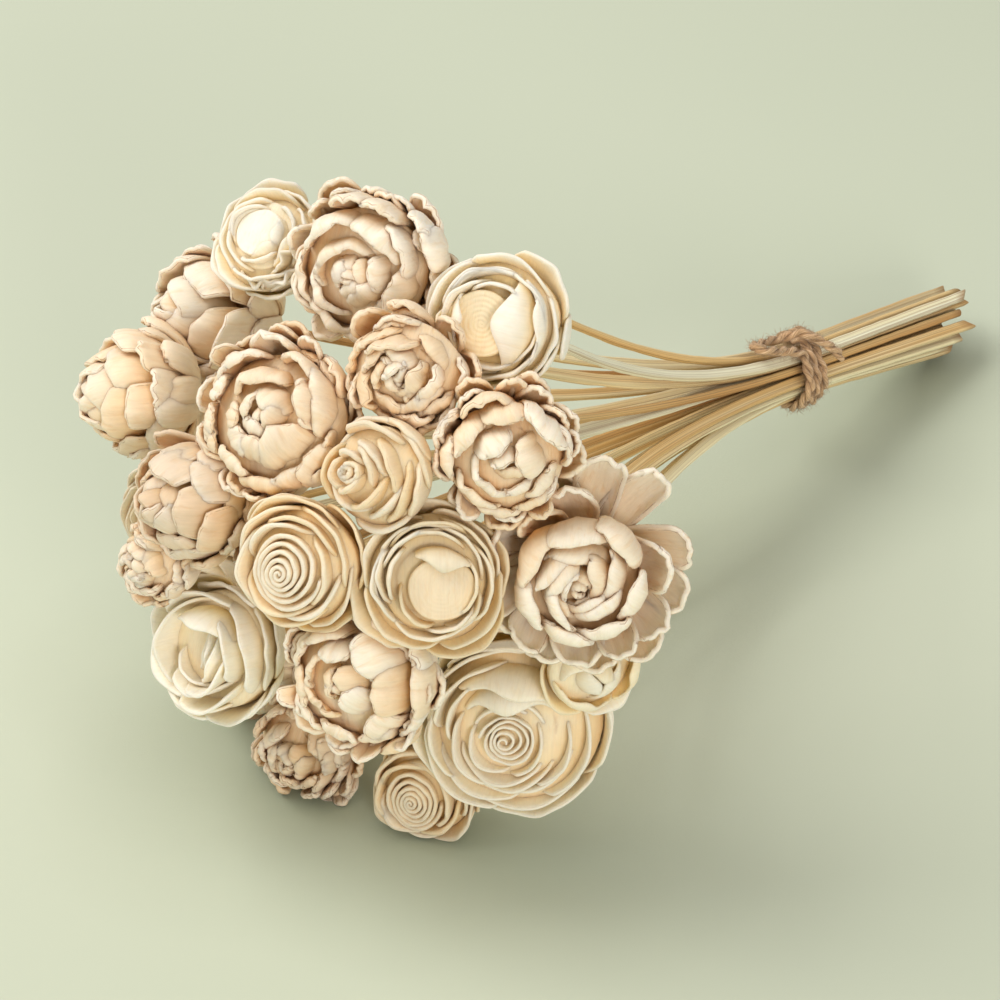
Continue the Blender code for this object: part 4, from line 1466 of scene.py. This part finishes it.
def trim(mesh, random):
    """Cuts the stem's end off at a slant, and keeps it above the surface that it lies on."""
    points = np.empty(len(mesh.vertices) * 3, np.float32)
    mesh.vertices.foreach_get("co", points)
    points = points.reshape(-1, 3)
    along = np.empty(len(points), np.float32)
    mesh.attributes["along"].data.foreach_get("value", along)
    near = along < CUT_DEPTH
    middle = points[near].mean(0)
    steep = random.uniform(-1, 1, 2) * CUT_STEEPNESS
    slant = (points - middle) @ (steep[0] * np.array(FLAT_ACROSS) + steep[1] * np.array(FLAT_NORMAL))
    slant = np.where(near, slant * (1 - along / CUT_DEPTH), 0)
    points += slant[:, None] * np.array(AXIS)
    points[:, 2] = np.maximum(points[:, 2], 0)
    mesh.vertices.foreach_set("co", points.ravel())
    mesh.update()


def make_stems(materials, slots):
    random = np.random.default_rng(STEM_SEED)
    flat_tree = stem_tree(materials["split_reed"], True)
    round_tree = stem_tree(materials["round_reed"], False)
    for index, head in enumerate(HEADS):
        reed = is_reed(index)
        piece = route_mesh("cut_stem_of_" + head.name, stem_route(index, slots[index]))
        values = {
            "Width": REED_DIAMETER if reed else SPLIT_WIDTH * random.uniform(*WIDTH_SHARES),
            "Thickness": SPLIT_THICKNESS * random.uniform(*THICKNESS_SHARES),
            "Tone": random.uniform(0, 1),
            "Seed": STEM_SEED_STEP * index,
        }
        if head.name == PALE_STEM:
            values.update({"Width": PALE_STEM_WIDTH, "Tone": PALE_STEM_TONE})
        bake(piece, round_tree if reed else flat_tree, values)
        trim(piece.data, random)
        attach(piece, "root")
        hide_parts("stem_of_" + head.name)


def twine_ply(tree, given, curve, start):
    """One ply winding round the route, from this clock angle in radians."""
    reach = add_node(tree, "GeometryNodeSplineParameter").outputs["Length"]
    turns = math_node(tree, "DIVIDE", reach, given["Lay"])
    angle = math_node(tree, "MULTIPLY_ADD", turns, 2 * math.pi, start)
    normal = output_of(tree, "GeometryNodeInputNormal")
    tangent = output_of(tree, "GeometryNodeInputTangent")
    side = vector_math(tree, "CROSS_PRODUCT", normal, tangent)
    over = scaled(tree, normal, math_node(tree, "COSINE", angle))
    beside = scaled(tree, side, math_node(tree, "SINE", angle))
    away = math_node(tree, "MULTIPLY", given["Diameter"], PLY_REACH)
    away = scaled(tree, vector_math(tree, "ADD", over, beside), away)
    outline = circle(tree, math_node(tree, "MULTIPLY", given["Diameter"], PLY_RADIUS), PLY_SIDES)
    return swept(tree, moved(tree, curve, away), outline)


def loose_fibre(tree, length):
    """A short bowed fibre standing off the strand."""
    half = math_node(tree, "MULTIPLY", length, 0.5)
    tip = combined(tree, math_node(tree, "MULTIPLY", half, 0.9), 0.0, half)
    bow = combined(tree, 0.0, 0.0, math_node(tree, "MULTIPLY", half, 0.75))
    inputs = {"Resolution": 4, "Start": (0, 0, 0), "Middle": bow, "End": tip}
    hair = output_of(tree, "GeometryNodeCurveQuadraticBezier", inputs)
    return swept(tree, hair, circle(tree, FIBRE_RADIUS, FIBRE_SIDES))


def random_between(tree, kind, sockets, low, high, seed):
    """A random value for each point, from low to high."""
    node = add_node(tree, "FunctionNodeRandomValue", {"Seed": seed}, data_type=kind)
    for socket, value in zip(sockets, (low, high)):
        node.inputs[socket].default_value = value
    return node.outputs


def loose_fibres(tree, given, plies):
    """Fibres scattered over the strand, each turned and sized by chance."""
    area = add_node(tree, "GeometryNodeAttributeStatistic", {"Geometry": plies}, domain="FACE")
    tree.links.new(output_of(tree, "GeometryNodeInputMeshFaceArea"), area.inputs["Attribute"])
    density = math_node(tree, "DIVIDE", given["Fibres"], area.outputs["Sum"])
    inputs = {"Mesh": plies, "Density": density, "Seed": 4}
    roots = add_node(tree, "GeometryNodeDistributePointsOnFaces", inputs)
    low, high = (-FIBRE_LEAN, -FIBRE_LEAN, 0), (FIBRE_LEAN, FIBRE_LEAN, FULL_TURN)
    lean = random_between(tree, "FLOAT_VECTOR", (0, 1), low, high, 9)[0]
    upright = {"Rotation": roots.outputs["Rotation"], "Rotate By": lean}
    inputs = {
        "Points": roots.outputs["Points"],
        "Instance": loose_fibre(tree, given["Fibre Length"]),
        "Rotation": output_of(tree, "FunctionNodeRotateRotation", upright, rotation_space="LOCAL"),
        "Scale": random_between(tree, "FLOAT", (2, 3), *FIBRE_SHARES, 3)[1],
    }
    return output_of(tree, "GeometryNodeInstanceOnPoints", inputs)


def joined(tree, *geometries):
    join = add_node(tree, "GeometryNodeJoinGeometry")
    for geometry in geometries:
        tree.links.new(geometry, join.inputs[0])
    return join.outputs[0]


def twine_tree(material):
    """Two plies laid round each other along the route, with loose fibres standing off them."""
    numbers = {"Diameter": TWINE_DIAMETER, "Lay": TWINE_LAY, "Fibres": FIBRES, "Fibre Length": FIBRE_LENGTH}
    tree, given, finish = new_tree("laid_twine", numbers, material)
    curve = smooth_route(tree, given["Geometry"], TWINE_STEP)
    plies = joined(tree, *(twine_ply(tree, given, curve, start) for start in (0.0, math.pi)))
    lumps = noise_node(tree, output_of(tree, "GeometryNodeInputPosition"), 520, 3, 0.7)
    plies = roughened(tree, plies, lumps, TWINE_LUMPS)
    finish(joined(tree, loose_fibres(tree, given, plies), plies))
    return tree


def make_twine(materials, slots):
    piece = route_mesh("jute_strand", twine_route(slots))
    bake(piece, twine_tree(materials["jute_twine"]), {})
    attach(piece, "root")
    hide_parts("twine_tie")


# ---------------------------------------------------------------------------- stage


VIEW_ELEVATION = math.radians(35)
VIEW_AZIMUTH = math.radians(309)
VIEW_DISTANCE = 1.25
VIEW_RIGHT = 14.5 * MM
VIEW_UP = -4.5 * MM
LENS = 155.5
SENSOR_WIDTH = 36
DOME_REACH = 186 * MM
DOME_MIDDLE = TIE_POINT + DOME_REACH * AXIS
FLOOR_REACH = 4
LAMP_COLOUR = (1.0, 0.96, 0.92)
WORLD_COLOUR = (1.0, 0.965, 0.92, 1)
WORLD_STRENGTH = 0.56


def make_stage():
    corners = [(-1, -1), (1, -1), (1, 1), (-1, 1)]
    mesh = bpy.data.meshes.new("floor")
    mesh.from_pydata([(x * FLOOR_REACH, y * FLOOR_REACH, 0) for x, y in corners], [], [(0, 1, 2, 3)])
    mesh.materials.append(floor_material())
    floor = bpy.data.objects.new("floor", mesh)
    bpy.context.scene.collection.objects.link(floor)


def view_axes():
    """Where the camera looks, and what is right and up in its view."""
    level = Vector((-math.sin(VIEW_AZIMUTH), math.cos(VIEW_AZIMUTH), 0))
    forward = level * math.cos(VIEW_ELEVATION) - Vector((0, 0, math.sin(VIEW_ELEVATION)))
    right = forward.cross(Vector((0, 0, 1))).normalized()
    return forward, right, right.cross(forward)


def make_camera():
    forward, right, up = view_axes()
    data = bpy.data.cameras.new("camera")
    data.sensor_width = SENSOR_WIDTH
    data.lens = LENS
    data.clip_start = 10 * MM
    camera = bpy.data.objects.new("camera", data)
    place = DOME_MIDDLE - VIEW_DISTANCE * forward + VIEW_RIGHT * right + VIEW_UP * up
    camera.matrix_world = Matrix.Translation(place) @ Matrix((right, up, -forward)).transposed().to_4x4()
    bpy.context.scene.collection.objects.link(camera)
    bpy.context.scene.camera = camera


def area_light(name, way, distance, size, power):
    """A square soft light that shines from this way on the floor under the bunch."""
    data = bpy.data.lights.new(name, "AREA")
    data.size = size
    data.energy = power
    data.color = LAMP_COLOUR
    light = bpy.data.objects.new(name, data)
    way = way.normalized()
    light.location = way * distance
    light.rotation_euler = way.to_track_quat("Z", "Y").to_euler()
    bpy.context.scene.collection.objects.link(light)


def make_lights():
    forward, right = view_axes()[:2]
    level = Vector((forward.x, forward.y, 0)).normalized()
    high = Vector((0, 0, 1))
    area_light("key", -0.72 * right + 0.1 * level + high, distance=1.6, size=1.0, power=15.4)
    area_light("front_fill", 0.25 * right - 1.0 * level + 0.35 * high, distance=3.4, size=0.9, power=42)
    world = bpy.data.worlds.new("studio")
    world.use_nodes = True
    background = world.node_tree.nodes["Background"].inputs
    background["Color"].default_value = WORLD_COLOUR
    background["Strength"].default_value = WORLD_STRENGTH
    bpy.context.scene.world = world
    bpy.context.scene.view_settings.view_transform = "Standard"


def main():
    materials = make_materials()
    slots = stem_slots()
    make_camera()
    make_stage()
    make_lights()
    make_flowers(materials)
    make_stems(materials, slots)
    make_twine(materials, slots)


main()
